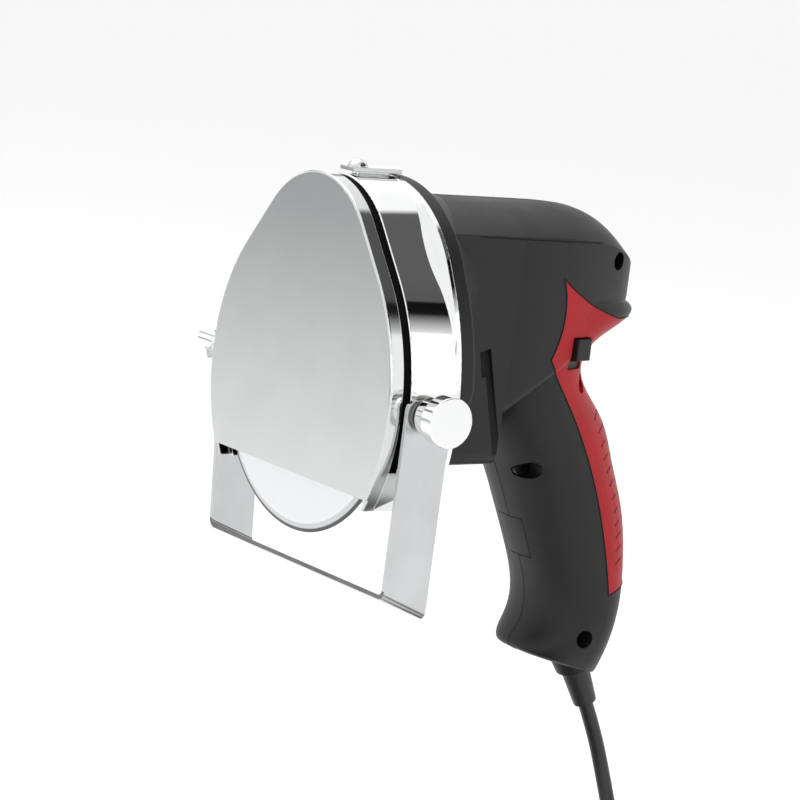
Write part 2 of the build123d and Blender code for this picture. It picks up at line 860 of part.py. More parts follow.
def motor_body(inset=0.0):
    """Nose, and the motor body lofted behind it to the rounded rear end."""
    last = body_sections - 1
    sections = []
    for index in range(body_sections):
        along = index / last
        y = nose_rear + (body_length - nose_length) * along
        if index in (0, last):
            y -= inset
        shares = [eased(row, along) for row in (body_width_shares, body_roof_shares, body_crease_shares,
                                                body_lower_shares, body_floor_rise_shares)]
        sections.append(across(y) * body_section(*shares, inset))
    return nose(inset) + loft(sections)


def handle_section(index, inset=0.0):
    """Level section of the handle, tilted towards its floor."""
    front = handle_front + handle_depth * handle_front_shares[index] + inset
    rear = handle_front + handle_depth * handle_rear_shares[index] - inset
    half_width = handle_half_width * handle_width_shares[index] - inset
    middle = (front + rear) / 2
    half_depth = (rear - front) / 2
    z = handle_top - handle_height * handle_drop_shares[index]
    last = index == len(handle_drop_shares) - 1
    if last:
        z += inset
    points = []
    for step in range(section_points):
        angle = 2 * pi * (step + 0.5) / section_points
        x = half_width * abs(cos(angle)) ** (2 / handle_squareness) * (1 if cos(angle) > 0 else -1)
        y = half_depth * abs(sin(angle)) ** (2 / handle_squareness) * (1 if sin(angle) > 0 else -1)
        points.append((x * (1 - handle_taper_shares[index] * y / half_depth), y))
    tilt = handle_floor_tilt * handle_tilt_shares[index]
    plane = Plane(origin=(0, middle, z), x_dir=(1, 0, 0), z_dir=(0, sin(radians(tilt)), cos(radians(tilt))))
    return plane * make_face(Spline(*points, periodic=True))


def handle(inset=0.0):
    """Pistol grip lofted through its level sections."""
    return loft([handle_section(index, inset) for index in range(len(handle_drop_shares))])


def collar_face(inset=0.0):
    """Outline of the housing's rim behind the gear case."""
    face = rim_face(inset, rim_floor)
    return fillet(face.vertices().sort_by(Axis.Y)[:2], rim_corner - inset)


def neck_face(inset=0.0):
    """Small end of the neck between the rim and the motor body."""
    floor = rim_floor - inset / 2
    face = head_face(neck_half_width, neck_side_offset, neck_cap_radius, neck_cap_height, floor, inset)
    return fillet(face.vertices().sort_by(Axis.Y)[:2], neck_corner)


def collar(inset=0.0):
    """Rim of the housing and the neck behind it."""
    body = slab(collar_face(inset), collar_front + inset, rim_rear)
    if inset == 0:
        rear_edges = body.edges().filter_by(lambda e: abs(e.center().Y - rim_rear) < seat_gap)
        body = fillet(rear_edges, rim_rear_round)
    neck = loft([across(rim_rear - seat_gap) * collar_face(inset + neck_step),
                 across(rim_rear + neck_length) * neck_face(inset)])
    return body + neck


def housing_form(inset=0.0):
    """Whole outer form of the housing, drawn inwards by inset."""
    return collar(inset) + skin_form(inset)


def plate_across(start, end):
    """Wide block between two places along Y."""
    return Pos(0, (start + end) / 2, 0) * Box(4 * head_half_width, end - start, 4 * head_half_width)


def through(face, half_span):
    """Solid of a face drawn in Y and Z, on both sides of the middle."""
    return extrude(face, half_span, both=True)


def insert_zone():
    """Region of the red insert, seen from the side."""
    outline = Wire([
        ThreePointArc(insert_tip, insert_brow, insert_top_rear),
        Line(insert_top_rear, (insert_far_rear, insert_top_rear[1])),
        Line((insert_far_rear, insert_top_rear[1]), (insert_far_rear, insert_heel_rear[1])),
        Line((insert_far_rear, insert_heel_rear[1]), insert_heel_rear),
        Line(insert_heel_rear, insert_heel),
        Spline(insert_heel, insert_palm_low, insert_palm, insert_waist_low),
        Line(insert_waist_low, insert_waist_corner),
        Spline(insert_waist_corner, insert_waist_high, insert_tip),
    ])
    return through(Plane.YZ * make_face(outline), head_half_width)


def skin_form(inset=0.0):
    """Motor body and handle alone, drawn inwards by inset."""
    return motor_body(inset) + handle(inset)


def switch_place():
    """Frame of the slide switch: X outwards, Z along its travel."""
    return Pos(0, switch_y, switch_z) * Rot(0, 0, switch_turn)


def switch_block(reach_from, reach_to, width, height, shift=0.0):
    """Block of the switch between two distances outwards."""
    return switch_place() * Pos((reach_from + reach_to) / 2, 0, shift) * Box(reach_to - reach_from, width, height)


def grip_insert(skin, core, shallow):
    """Red insert that wraps the rear of the waist and the palm side of the handle."""
    body = (skin & insert_zone()) - core
    grooves = None
    for index in range(groove_count):
        place = Pos(0, grip_reach + handle_depth, groove_top - index * groove_pitch)
        for side in (-1, 1):
            slant = Rot(0, side * groove_slant, 0) * Pos(side * groove_half_span / 2, 0, 0)
            plate = place * slant * Box(groove_half_span, 2 * handle_depth, groove_width)
            grooves = plate if grooves is None else grooves + plate
    body -= grooves - shallow
    body -= switch_block(0, head_half_width, switch_pocket_width, switch_pocket_height)
    return body - switch_base_room()


def switch_base_room():
    """Room of the switch block behind the insert."""
    return switch_block(switch_base_outer - switch_base_depth, switch_base_outer + seat_gap,
                        switch_base_width + 2 * seat_gap, switch_base_height + 2 * seat_gap)


def teardrop():
    """Small hollow below the switch."""
    radius = teardrop_width / 2
    face = Circle(radius) + Pos(0, (teardrop_length - teardrop_width) / 2) * Rectangle(
        teardrop_width * tooth_mid_share, teardrop_length - teardrop_width)
    place = Pos(0, teardrop_y, teardrop_z) * Rot(0, 0, switch_turn)
    hollow = place * extrude(Plane.YZ * face, head_half_width)
    return hollow - skin_form(insert_thickness - teardrop_floor)


def slot_cut(side):
    """Dark slot in the side of the nose."""
    lean = degrees(atan2(slot_bottom_y - slot_top_y, slot_top_z - slot_bottom_z))
    length = hypot(slot_bottom_y - slot_top_y, slot_top_z - slot_bottom_z)
    wide = Pos(0, -slot_head_length / 2) * Rectangle(slot_head_width, slot_head_length)
    slim = Pos((slot_head_width - slot_width) / 2, -length / 2) * Rectangle(slot_width, length)
    face = Plane.YZ * Pos(slot_top_y, slot_top_z) * Rot(0, 0, lean) * (wide + slim)
    inner = body_half_width - slot_depth
    return Pos(side * inner, 0, 0) * extrude(face, side * (slot_depth + overrun))


def shell_bosses():
    """Screw bosses between the two shells."""
    bosses = None
    for y, z in shell_screw_points:
        boss = bar_across(shell_boss_diameter, -body_half_width, body_half_width, y, z)
        bosses = boss if bosses is None else bosses + boss
    return bosses


def shell_ribs(space):
    """Ribs that hold the stator, the brush holders and the motor's rear bearing."""
    half = housing_wall / 2
    stator_end = stator_front + stator_length
    ribs = None
    for y in (stator_front + housing_wall, stator_end - housing_wall):
        rib = plate_across(y - half, y + half)
        rib -= slab(Pos(0, motor_height) * offset(stator_face(), seat_gap), y - housing_wall, y + housing_wall)
        ribs = rib if ribs is None else ribs + rib
    middle = commutator_front + commutator_length / 2
    brush_rib = plate_across(middle - half, middle + half)
    brush_rib -= disc(commutator_diameter + 2 * brush_rear_gap, 0, shaft_rear, 0, motor_height)
    room = brush_holder_size() + 2 * seat_gap
    reach = commutator_diameter + 2 * (brush_rear_gap + brush_length + seat_gap)
    brush_rib -= Pos(0, middle, motor_height) * Box(reach, 2 * room, room)
    start = rear_bearing_front
    rear_rib = plate_across(start, start + motor_bearing_width + half)
    rear_rib -= disc(motor_bearing_diameter + 2 * press_gap, 0, start + motor_bearing_width, 0, motor_height)
    rear_rib -= disc(motor_bearing_diameter - 2 * housing_wall, 0, shaft_rear + half, 0, motor_height)
    floor = switch_z + switch_base_height
    keep = Pos(0, 0, floor + 2 * head_half_width) * Box(
        4 * head_half_width, 8 * head_half_width, 4 * head_half_width)
    rear_ribs = (brush_rib + rear_rib) & keep
    return (ribs + rear_ribs) & space & motor_body(housing_wall / 2)


def brush_holder_size():
    """Outer width of a brush holder."""
    return brush_width + 2 * (brush_holder_wall + seat_gap)


def trigger_block(width, height, start, end):
    """Block square to the handle's front at the trigger, from start to end inwards."""
    place = Pos(0, front_at(trigger_z), trigger_z) * Rot(trigger_lean, 0, 0)
    return place * Pos(0, (start + end) / 2, 0) * Box(width, end - start, height)


def front_at(z):
    """Front of the handle at a height, read from its section shares."""
    places = [handle_top - handle_height * share for share in handle_drop_shares]
    fronts = [handle_front + handle_depth * share for share in handle_front_shares]
    for index in range(len(places) - 1):
        if places[index] >= z >= places[index + 1]:
            part = (places[index] - z) / (places[index] - places[index + 1])
            return fronts[index] + part * (fronts[index + 1] - fronts[index])
    return fronts[-1]


def gland_place(along=0.0):
    """Frame on the gland's axis with Z pointing out of the handle."""
    return Pos(0, gland_y, gland_z) * Rot(180 + gland_lean, 0, 0) * Pos(0, 0, along)


def front_trigger(skin):
    """Flush trigger in the front of the handle, with a flange behind the wall."""
    body = trigger_block(trigger_width, trigger_height, -2 * overrun, trigger_thickness + seat_gap) & skin
    width = trigger_width + 2 * trigger_flange
    height = trigger_height + 2 * trigger_flange
    return body + trigger_block(width, height, trigger_thickness, trigger_flange_rear)


def trigger_switch():
    """Microswitch block behind the trigger."""
    return trigger_block(trigger_switch_width, trigger_switch_height,
                         trigger_switch_front, trigger_switch_front + trigger_switch_depth)


def trigger_spring():
    """Bowed leaf on the front of the microswitch."""
    end = trigger_switch_front - press_gap
    half = trigger_switch_height / 2 - trigger_flange
    tip = end - trigger_spring_rise
    outer = Wire([
        ThreePointArc((end, -half), (tip, 0), (end, half)),
        Line((end, half), (end, half - trigger_spring_thickness)),
        ThreePointArc((end, half - trigger_spring_thickness), (tip + trigger_spring_thickness, 0),
                      (end, trigger_spring_thickness - half)),
        Line((end, trigger_spring_thickness - half), (end, -half)),
    ])
    leaf = extrude(Plane.YZ * make_face(outer), trigger_spring_width / 2, both=True)
    return Pos(0, front_at(trigger_z), trigger_z) * Rot(trigger_lean, 0, 0) * leaf


def trigger_seat():
    """Rib in the handle that holds the microswitch."""
    middle = trigger_switch_front + trigger_switch_depth / 2
    height = trigger_switch_height + 2 * housing_wall
    block = trigger_block(4 * head_half_width, height, middle - housing_wall / 2, middle + housing_wall / 2)
    return block - trigger_block(trigger_switch_width + 2 * seat_gap, trigger_switch_height + 2 * seat_gap,
                                 trigger_switch_front, trigger_switch_front + trigger_switch_depth)


def trigger_opening():
    """Window for the trigger and room for its flange and travel."""
    room = 2 * moving_gap
    window = trigger_block(trigger_width + room, trigger_height + room, -4 * overrun, trigger_thickness + room)
    width = trigger_width + 2 * trigger_flange + room
    height = trigger_height + 2 * trigger_flange + room
    return window + trigger_block(width, height, trigger_thickness - seat_gap,
                                  trigger_flange_rear + trigger_travel + moving_gap)


def clamp_height():
    """Depth of the cord clamp across the handle."""
    return cord_diameter + 2 * clamp_thickness


def clamp_block(length, gap=0.0):
    """Block at the cord clamp's place."""
    return gland_place(-clamp_rise) * Box(length, clamp_height() + 2 * gap, clamp_width + 2 * gap)


def cord_clamp():
    """Bridge that grips the cord inside the handle."""
    return clamp_block(clamp_length) - gland_place(-clamp_rise) * Cylinder(cord_diameter / 2 + press_gap, clamp_length)


def clamp_seat():
    """Blocks of both shells that the clamp's ends rest in."""
    block = clamp_block(4 * head_half_width, housing_wall / 2)
    room = clamp_length + 2 * seat_gap
    block -= gland_place(-clamp_rise) * Box(room, 2 * clamp_height(), clamp_width + 2 * seat_gap)
    clear = clamp_length - 2 * housing_wall
    return block - gland_place(-clamp_rise) * Box(clear, 4 * clamp_height(), 4 * clamp_width)


def cable_gland(form):
    """Ring that closes the handle's floor round the boot."""
    cone = gland_place(gland_length / 2 - overrun / 2) * Cone(
        gland_diameter / 2, gland_tip_diameter / 2, gland_length + overrun)
    body = (cone - form).solids().sort_by(SortBy.VOLUME)[-1]
    return body - gland_place() * Cylinder(boot_root_diameter / 2 + press_gap, 8 * gland_length)


def cord_boot():
    """Strain relief that tapers away from the handle."""
    root_length = boot_root_length + gland_length
    root = gland_place((gland_length - boot_root_length) / 2) * Cylinder(boot_root_diameter / 2, root_length)
    tip = gland_place(gland_length + boot_length / 2) * Cone(
        boot_root_diameter / 2, boot_tip_diameter / 2, boot_length)
    return root + tip - gland_place() * Cylinder(cord_diameter / 2 + press_gap, 8 * boot_length)


def cord_entry():
    """End of the cord inside the boot and the clamp."""
    tip = gland_length + boot_length
    length = tip + cord_entry_length
    return gland_place(tip - length / 2) * Cylinder(cord_diameter / 2, length)


def shell_screws():
    """Screws that join the two shells, driven from the right."""
    screws = []
    for y, z in shell_screw_points:
        seat = shell_screw_seat
        screw = bar_across(shell_screw_diameter, seat - shell_screw_length, seat, y, z)
        screw += bar_across(shell_screw_head_diameter, seat, seat + shell_screw_head_height, y, z)
        screws.append(screw)
    return screws


def switch_button():
    """Dark slide button that stands out of the red insert, at the upper end of its travel."""
    start = switch_base_outer + moving_gap
    end = switch_reach + switch_proud
    button = switch_place() * Pos((start + end) / 2, 0, switch_travel / 2) * fillet_block(
        end - start, switch_width, switch_height)
    stem = switch_block(start - switch_stem_length, start, switch_stem, switch_stem, switch_travel / 2)
    return button + stem


def fillet_block(depth, width, height):
    """Block with the edges of its outer face rounded."""
    block = Box(depth, width, height)
    return fillet(block.faces().sort_by(Axis.X)[-1].edges(), switch_proud / 4)


def switch_body():
    """Switch block under the button, with a slot for the button's stem."""
    inner = switch_base_outer - switch_base_depth
    body = switch_block(inner, switch_base_outer, switch_base_width, switch_base_height)
    slot_height = switch_stem + switch_travel + 2 * moving_gap
    slot = switch_block(switch_base_outer - 2 * switch_stem_length, switch_base_outer + overrun,
                        switch_stem + 2 * moving_gap, slot_height)
    return body - slot


def housing_cuts():
    """Everything cut from the two shells."""
    cuts = [slot_cut(side) for side in (-1, 1)]
    hole = case_screw_diameter + 2 * seat_gap
    for x, z in case_boss_points:
        cuts.append(disc(hole, 0, collar_front + housing_wall + overrun, x, z))
    spindle_hole = bearing_diameter + 2 * bearing_boss_wall + 2 * seat_gap
    motor_hole = motor_bearing_diameter + 2 * bearing_boss_wall + 2 * seat_gap
    cuts.append(disc(spindle_hole, 0, collar_front + 2 * housing_wall))
    cuts.append(disc(motor_hole, 0, collar_front + 2 * housing_wall, 0, motor_height))
    cuts.append(trigger_opening())
    cuts.append(switch_block(0, head_half_width, switch_pocket_width, switch_pocket_height))
    cuts.append(switch_base_room())
    cuts.append(gland_place() * Cylinder(boot_root_diameter / 2 + seat_gap, 4 * gland_length))
    cuts.append(gland_place() * Cylinder(cord_diameter / 2 + moving_gap, 2 * (cord_entry_length + overrun)))
    cuts.append(clamp_block(clamp_length + 2 * seat_gap, seat_gap))
    for y, z in shell_screw_points:
        seat = shell_screw_seat
        cuts.append(bar_across(well_diameter, seat, head_half_width, y, z))
        cuts.append(bar_across(shell_screw_diameter + 2 * press_gap, seat - shell_screw_length, seat, y, z))
    return cuts


def build_housing():
    """The two shells, the red insert, the trigger and the gland, from one outer form."""
    form = housing_form()
    space = housing_form(housing_wall)
    skin = skin_form()
    body = form - space
    body += (shell_bosses() + trigger_seat() + clamp_seat()) & space
    body += shell_ribs(space)
    body -= insert_zone() - skin_form(insert_thickness + seat_gap)
    for cut in housing_cuts():
        body -= cut
    half_room = Pos(2 * head_half_width, grip_reach, 0) * Box(
        4 * head_half_width, 8 * head_half_width, 8 * head_half_width)
    right = body & half_room
    left = body - half_room
    insert = grip_insert(skin, skin_form(insert_thickness), skin_form(groove_depth)) - teardrop()
    return right, left, insert, front_trigger(skin), cable_gland(form)


def thickness_guide():
    """Bent strap whose cross bar sets how deep the blade cuts."""
    lean = (guide_half_width_top - guide_half_width_bottom) / (guide_axis_z - guide_bottom)
    def half_at(z):
        return guide_half_width_bottom + lean * (z - guide_bottom)
    high = guide_top + guide_width
    outer = make_face(Polyline((-half_at(guide_bottom), guide_bottom), (half_at(guide_bottom), guide_bottom),
                               (half_at(high), high), (-half_at(high), high), close=True))
    outer = fillet(outer.vertices().sort_by(Axis.Y)[:2], guide_bend_radius)
    floor = guide_bottom + guide_thickness
    top = high + guide_width
    wall = guide_thickness
    inner = make_face(Polyline((wall - half_at(floor), floor), (half_at(floor) - wall, floor),
                               (half_at(top) - wall, top), (wall - half_at(top), top), close=True))
    inner = fillet(inner.vertices().sort_by(Axis.Y)[:2], guide_bend_radius - guide_thickness)
    tilt = radians(guide_bar_tilt)
    strap = extrude(across(guide_front) * (outer - inner), guide_width / cos(tilt),
                    dir=(0, cos(tilt), -sin(tilt)))
    side = make_face(Polyline((guide_front, guide_top), (guide_front + guide_width, guide_top),
                              (guide_front + guide_width, -3 * guide_width - high),
                              (guide_front, -3 * guide_width - high), close=True))
    side = fillet(side.vertices().sort_by(Axis.Y)[-2:], guide_corner)
    strap &= through(Plane.YZ * side, 2 * head_half_width)
    strap -= bar_across(guide_hole_diameter, -2 * head_half_width, 2 * head_half_width, guide_axis_y, guide_axis_z)
    axis = Axis((0, guide_axis_y, guide_axis_z), (1, 0, 0))
    return strap.rotate(axis, guide_rest_tilt)


def pivot_studs():
    """Studs in the sides of the gear case that the guide turns on."""
    studs = []
    for side in (-1, 1):
        root = head_half_width - case_wall
        stud = bar_across(pivot_diameter, side * root, side * pivot_tip, guide_axis_y, guide_axis_z)
        pad_end = guide_half_width_top - guide_thickness - pivot_clear
        pad = bar_across(pivot_pad_diameter, side * (head_half_width - case_wall / 2), side * pad_end,
                         guide_axis_y, guide_axis_z)
        pad -= slab(egg_face(-press_gap), 0, case_rear + overrun)
        studs.append(stud + pad)
    return studs


def guide_washers():
    """Washers between the guide's arms and the knobs."""
    washers = []
    for side in (-1, 1):
        washer = bar_across(washer_diameter, side * washer_start, side * (washer_start + washer_thickness),
                            guide_axis_y, guide_axis_z)
        washers.append(washer - pivot_bore(running_gap))
    return washers


def pivot_bore(gap):
    """Long hole along the pivot axis."""
    return bar_across(pivot_diameter + 2 * gap, -3 * head_half_width, 3 * head_half_width,
                      guide_axis_y, guide_axis_z)


def blind_bore(side):
    """Threaded bore of a knob on its stud."""
    return bar_across(pivot_diameter + 2 * running_gap, 0, side * (pivot_tip + moving_gap),
                      guide_axis_y, guide_axis_z)


def right_knob():
    """Plain round clamping knob."""
    rim_start = knob_start + knob_hub_length
    rim = bar_across(knob_diameter, rim_start, rim_start + knob_rim_length, guide_axis_y, guide_axis_z)
    rim = fillet(rim.edges().filter_by(GeomType.CIRCLE), knob_edge_round)
    hub = bar_across(knob_hub_diameter, knob_start, rim_start + knob_edge_round, guide_axis_y, guide_axis_z)
    return rim + hub - blind_bore(1)


def left_knob():
    """Star knob with five scallops."""
    face = Circle(star_diameter / 2)
    reach = star_diameter / 2 + star_cut_diameter / 2 - star_cut_depth
    for index in range(star_lobes):
        face -= Rot(0, 0, 360 * index / star_lobes) * Pos(reach, 0) * Circle(star_cut_diameter / 2)
    body = extrude(face, star_length)
    body = fillet(body.edges().group_by(Axis.Z)[-1], star_edge_round)
    body = Pos(-knob_start - knob_hub_length, guide_axis_y, guide_axis_z) * Rot(0, -90, 0) * body
    hub_end = knob_start + knob_hub_length + star_edge_round
    hub = bar_across(knob_hub_diameter, -knob_start, -hub_end, guide_axis_y, guide_axis_z)
    return body + hub - blind_bore(-1)


def cord_radii():
    """Bend radius at each inner point of the cord's route."""
    radii = []
    for before, point, after in zip(cord_points, cord_points[1:], cord_points[2:]):
        first = Vector(*point) - Vector(*before)
        second = Vector(*after) - Vector(*point)
        turn = radians(first.get_angle(second))
        radii.append(cord_bend_share * min(first.length, second.length) / tan(turn / 2))
    return radii


def swept(path, diameter):
    """Round tube along a path."""
    start = Plane(origin=path @ 0, z_dir=path % 0)
    return sweep(start * Circle(diameter / 2), path=path)


def cord_tube():
    """Free stretch of the cord from the boot to the coil."""
    path = FilletPolyline(*cord_points, radius=cord_radii())
    return swept(path, cord_diameter), path.length


def coil_path():
    """Two flat spirals joined by a rising half turn, then a quarter turn out to the plug."""
    point = Vector(*cord_points[-1])
    heading = Vector(0, -1, 0)
    edges = [Line(point, point + heading * cord_diameter)]
    point = point + heading * cord_diameter
    radii_down = [coil_inner_radius + coil_pitch / 2 * (coil_half_turns_down - index)
                  for index in range(coil_half_turns_down)]
    radii_up = [coil_inner_radius + coil_pitch / 2 * (index + 1) for index in range(coil_half_turns_up)]
    side = -1
    for radius in radii_down:
        point, side = add_half_turn(edges, point, side, radius)
    point, side = add_rise(edges, point, side)
    for radius in radii_up:
        point, side = add_half_turn(edges, point, side, radius)
    swing = coil_exit_radius * (1 - cos(pi / 4))
    middle = point + Vector(swing, -coil_exit_radius * sin(pi / 4), 0)
    turned = point + Vector(coil_exit_radius, -coil_exit_radius, 0)
    edges.append(ThreePointArc(point, middle, turned))
    heading = Vector(1, 0, 0)
    end = turned + heading * cord_diameter
    edges.append(Line(turned, end))
    return Wire(edges), end, heading


def add_half_turn(edges, point, side, radius):
    """Level half turn to the other side of the coil, clockwise from above."""
    middle = point + Vector(side * radius, side * radius, 0)
    end = point + Vector(side * 2 * radius, 0, 0)
    edges.append(ThreePointArc(point, middle, end))
    return end, -side


def add_rise(edges, point, side):
    """Half turn that climbs one layer, as two tilted quarter turns."""
    radius = coil_inner_radius
    reach = sqrt(radius**2 + (coil_pitch / 2) ** 2)
    middle = point + Vector(side * radius, side * reach, coil_pitch / 2)
    end = point + Vector(side * 2 * radius, 0, coil_pitch)
    edges.append(TangentArc(point, middle, tangent=(0, side, 0)))
    edges.append(TangentArc(middle, end, tangent=edges[-1] % 1))
    return end, -side


def least_gap(path, length):
    """Least gap of the coil to itself, measured on points along it."""
    count = ceil(length / (cord_diameter / 2))
    points = [path @ (index / count) for index in range(count + 1)]
    near = 3 * cord_diameter
    skip = ceil(near * pi / (length / count))
    best = None
    for index, first in enumerate(points):
        for second in points[index + skip:]:
            gap = (first - second).length - cord_diameter
            if best is None or gap < best:
                best = gap
    return best


def coil_tie():
    """Strap round the coil's bundle, opposite the cord's end."""
    half = coil_pitch / 2
    outer_radius = coil_inner_radius + half * coil_half_turns_down
    start_x = cord_points[-1][0]
    centre_y = cord_points[-1][1] - cord_diameter
    centre_x = start_x - outer_radius - half
    low = cord_points[-1][2] - cord_diameter / 2 - tie_gap
    high = cord_points[-1][2] + coil_pitch + cord_diameter / 2 + tie_gap
    inner = coil_inner_radius + half - cord_diameter / 2 - 3 * tie_gap
    outer = outer_radius + cord_diameter / 2 + tie_gap
    window = Rectangle(outer - inner, high - low)
    frame = Rectangle(outer - inner + 2 * tie_thickness, high - low + 2 * tie_thickness)
    frame = fillet(frame.vertices(), cord_diameter / 2) - fillet(window.vertices(), cord_diameter / 2 - tie_thickness)
    place = Plane(origin=(centre_x, centre_y - (inner + outer) / 2, (low + high) / 2),
                  x_dir=(0, 1, 0), z_dir=(1, 0, 0))
    return place * extrude(frame, tie_width / 2, both=True)


def plug(place):
    """Moulded two-pin plug with its own strain relief."""
    body = Pos(0, 0, plug_neck_length + plug_length / 2) * Box(plug_width, plug_height, plug_length)
    body = fillet(body.edges().filter_by(Axis.Z), plug_round)
    body = fillet(body.faces().sort_by(Axis.Z)[0].edges(), plug_round / 2)
    neck = Pos(0, 0, plug_neck_length / 2) * Cone(plug_neck_tip_diameter / 2, plug_neck_root_diameter / 2,
                                                  plug_neck_length)
    return place * (body + neck)


def plug_pins(place):
    """Two round pins of the plug."""
    pins = []
    for side in (-1, 1):
        seat = Pos(side * pin_spacing / 2, 0, plug_neck_length + plug_length)
        pin = seat * extrude(Circle(pin_diameter / 2), pin_length)
        pins.append(place * fillet(pin.edges().sort_by(Axis.Z)[-1:], pin_diameter / 4))
    return pins


def save(name, shape, shift=True):
    """Write one piece, moved so that the grip's centre is the origin."""
    solids = shape if isinstance(shape, (list, tuple)) else shape.solids()
    place = Pos(0, -grip_reach, grip_drop) if shift else Pos(0, 0, 0)
    parts = []
    for piece in solids:
        parts.extend((place * piece).solids())
    result = parts[0] if len(parts) == 1 else Compound(children=parts)
    result.label = name
    export_step(result, f"parts/{name}.step")


right, left, insert, trigger, gland = build_housing()
save("right_shell", right)
save("left_shell", left)
save("grip_insert", insert)
save("front_trigger", trigger)
save("cable_gland", gland)

save("front_cover", front_cover())
save("cover_nuts", cover_nuts())
save("cover_gasket", gasket())
save("gear_case", gear_case())
save("gear_case_back", gear_case_back())
save("case_screws", case_screws())
save("top_clip", top_clip())
save("clip_screw", clip_screw())

save("blade", blade())
save("blade_screw", blade_screw())
save("spindle", spindle())
save("drive_gear", drive_gear())
save("spindle_bearing_front", bearing(bearing_diameter, spindle_diameter, bearing_width,
                                      case_front + case_front_wall))
save("spindle_bearing_rear", bearing(bearing_diameter, spindle_diameter, bearing_width, case_rear))

save("pinion_gear", pinion_gear())
save("motor_shaft", motor_shaft())
save("armature_core", armature_core())
save("armature_windings", armature_windings())
save("commutator", commutator())
save("cooling_fan", cooling_fan())
save("motor_bearing_front", bearing(motor_bearing_diameter, shaft_diameter, motor_bearing_width,
                                    case_rear, motor_height))
save("motor_bearing_rear", bearing(motor_bearing_diameter, shaft_diameter, motor_bearing_width,
                                   rear_bearing_front, motor_height))
save("stator_core", stator_core())
save("field_coils", field_coils())
save("carbon_brushes", brushes())
save("brush_holders", brush_holders())
save("brush_springs", brush_springs())

save("shell_screws", shell_screws())
save("switch_button", switch_button())
save("switch_body", switch_body())
save("trigger_switch", trigger_switch())
save("trigger_spring", trigger_spring())
save("cord_clamp", cord_clamp())

save("thickness_guide", thickness_guide())
save("pivot_studs", pivot_studs())
save("guide_washers", guide_washers())
save("right_knob", right_knob())
save("left_knob", left_knob())

save("cord_boot", cord_boot())
save("cord_entry", cord_entry())
tube, tube_length = cord_tube()
save("mains_cord", tube, shift=False)
coil_line, coil_end, coil_heading = coil_path()
coil = swept(coil_line, cord_diameter)
save("cord_coil", coil, shift=False)
save("coil_tie", coil_tie(), shift=False)
plug_place = Plane(origin=coil_end, x_dir=(0, 1, 0), z_dir=coil_heading)
save("plug_body", plug(plug_place), shift=False)
save("plug_pins", plug_pins(plug_place), shift=False)

section = pi * cord_diameter**2 / 4
print("cord radii", [round(radius, 1) for radius in cord_radii()])
print("tube volume over section times length", round(tube.volume / (section * tube_length), 4))
print("coil volume over section times length", round(coil.volume / (section * coil_line.length), 4))
print("least gap of the coil to itself", round(least_gap(coil_line, coil_line.length), 2))
print("free cord length", round(tube_length + coil_line.length))
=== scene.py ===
import json
from math import cos, pi, radians, sin

import bmesh
import bpy
from mathutils import Matrix, Vector
from mathutils.bvhtree import BVHTree

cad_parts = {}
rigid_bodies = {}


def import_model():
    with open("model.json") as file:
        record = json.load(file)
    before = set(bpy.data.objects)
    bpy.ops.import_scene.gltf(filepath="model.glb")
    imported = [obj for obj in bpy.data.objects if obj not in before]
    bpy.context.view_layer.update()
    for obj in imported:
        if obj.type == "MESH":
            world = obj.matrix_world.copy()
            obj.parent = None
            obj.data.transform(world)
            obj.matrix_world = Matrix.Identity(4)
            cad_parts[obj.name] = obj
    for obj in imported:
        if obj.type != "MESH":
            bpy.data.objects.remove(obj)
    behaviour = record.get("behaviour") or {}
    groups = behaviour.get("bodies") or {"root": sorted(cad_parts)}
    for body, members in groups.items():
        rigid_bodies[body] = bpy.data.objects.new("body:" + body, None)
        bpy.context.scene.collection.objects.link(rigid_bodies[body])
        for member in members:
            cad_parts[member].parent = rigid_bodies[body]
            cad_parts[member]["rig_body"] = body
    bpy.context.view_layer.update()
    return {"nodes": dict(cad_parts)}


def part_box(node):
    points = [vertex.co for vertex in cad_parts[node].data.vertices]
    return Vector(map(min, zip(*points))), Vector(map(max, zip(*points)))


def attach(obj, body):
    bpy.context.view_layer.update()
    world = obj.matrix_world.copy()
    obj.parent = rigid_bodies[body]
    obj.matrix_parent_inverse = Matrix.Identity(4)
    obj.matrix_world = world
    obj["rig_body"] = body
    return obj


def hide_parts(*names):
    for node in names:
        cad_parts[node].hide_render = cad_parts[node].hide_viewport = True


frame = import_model()
nodes = frame["nodes"]
mm = 0.001
headOffset = Vector((0, -121.5, 58.0))  # from the head's own frame to the part's frame, in millimetres
inward = Vector((-1, 0, 0))             # from the right side towards the middle plane
print("frame loaded")


def linear(hexColour):
    channels = [int(hexColour[i:i + 2], 16) / 255 for i in (1, 3, 5)]
    return [c / 12.92 if c <= 0.04045 else ((c + 0.055) / 1.055) ** 2.4 for c in channels] + [1.0]


def addNode(tree, kind, settings=None, links=None):
    node = tree.nodes.new(kind)
    for key, value in (settings or {}).items():
        if isinstance(key, int) or key in node.inputs:
            node.inputs[key].default_value = value
        else:
            setattr(node, key, value)
    for key, (source, output) in (links or {}).items():
        tree.links.new(source.outputs[output], node.inputs[key])
    return node


def newFinish(name):
    material = bpy.data.materials.new(name)
    material.use_nodes = True
    tree = material.node_tree
    tree.nodes.clear()
    shader = addNode(tree, "ShaderNodeBsdfPrincipled")
    addNode(tree, "ShaderNodeOutputMaterial", links={"Surface": (shader, "BSDF")})
    place = addNode(tree, "ShaderNodeTexCoord")
    return material, tree, shader, place


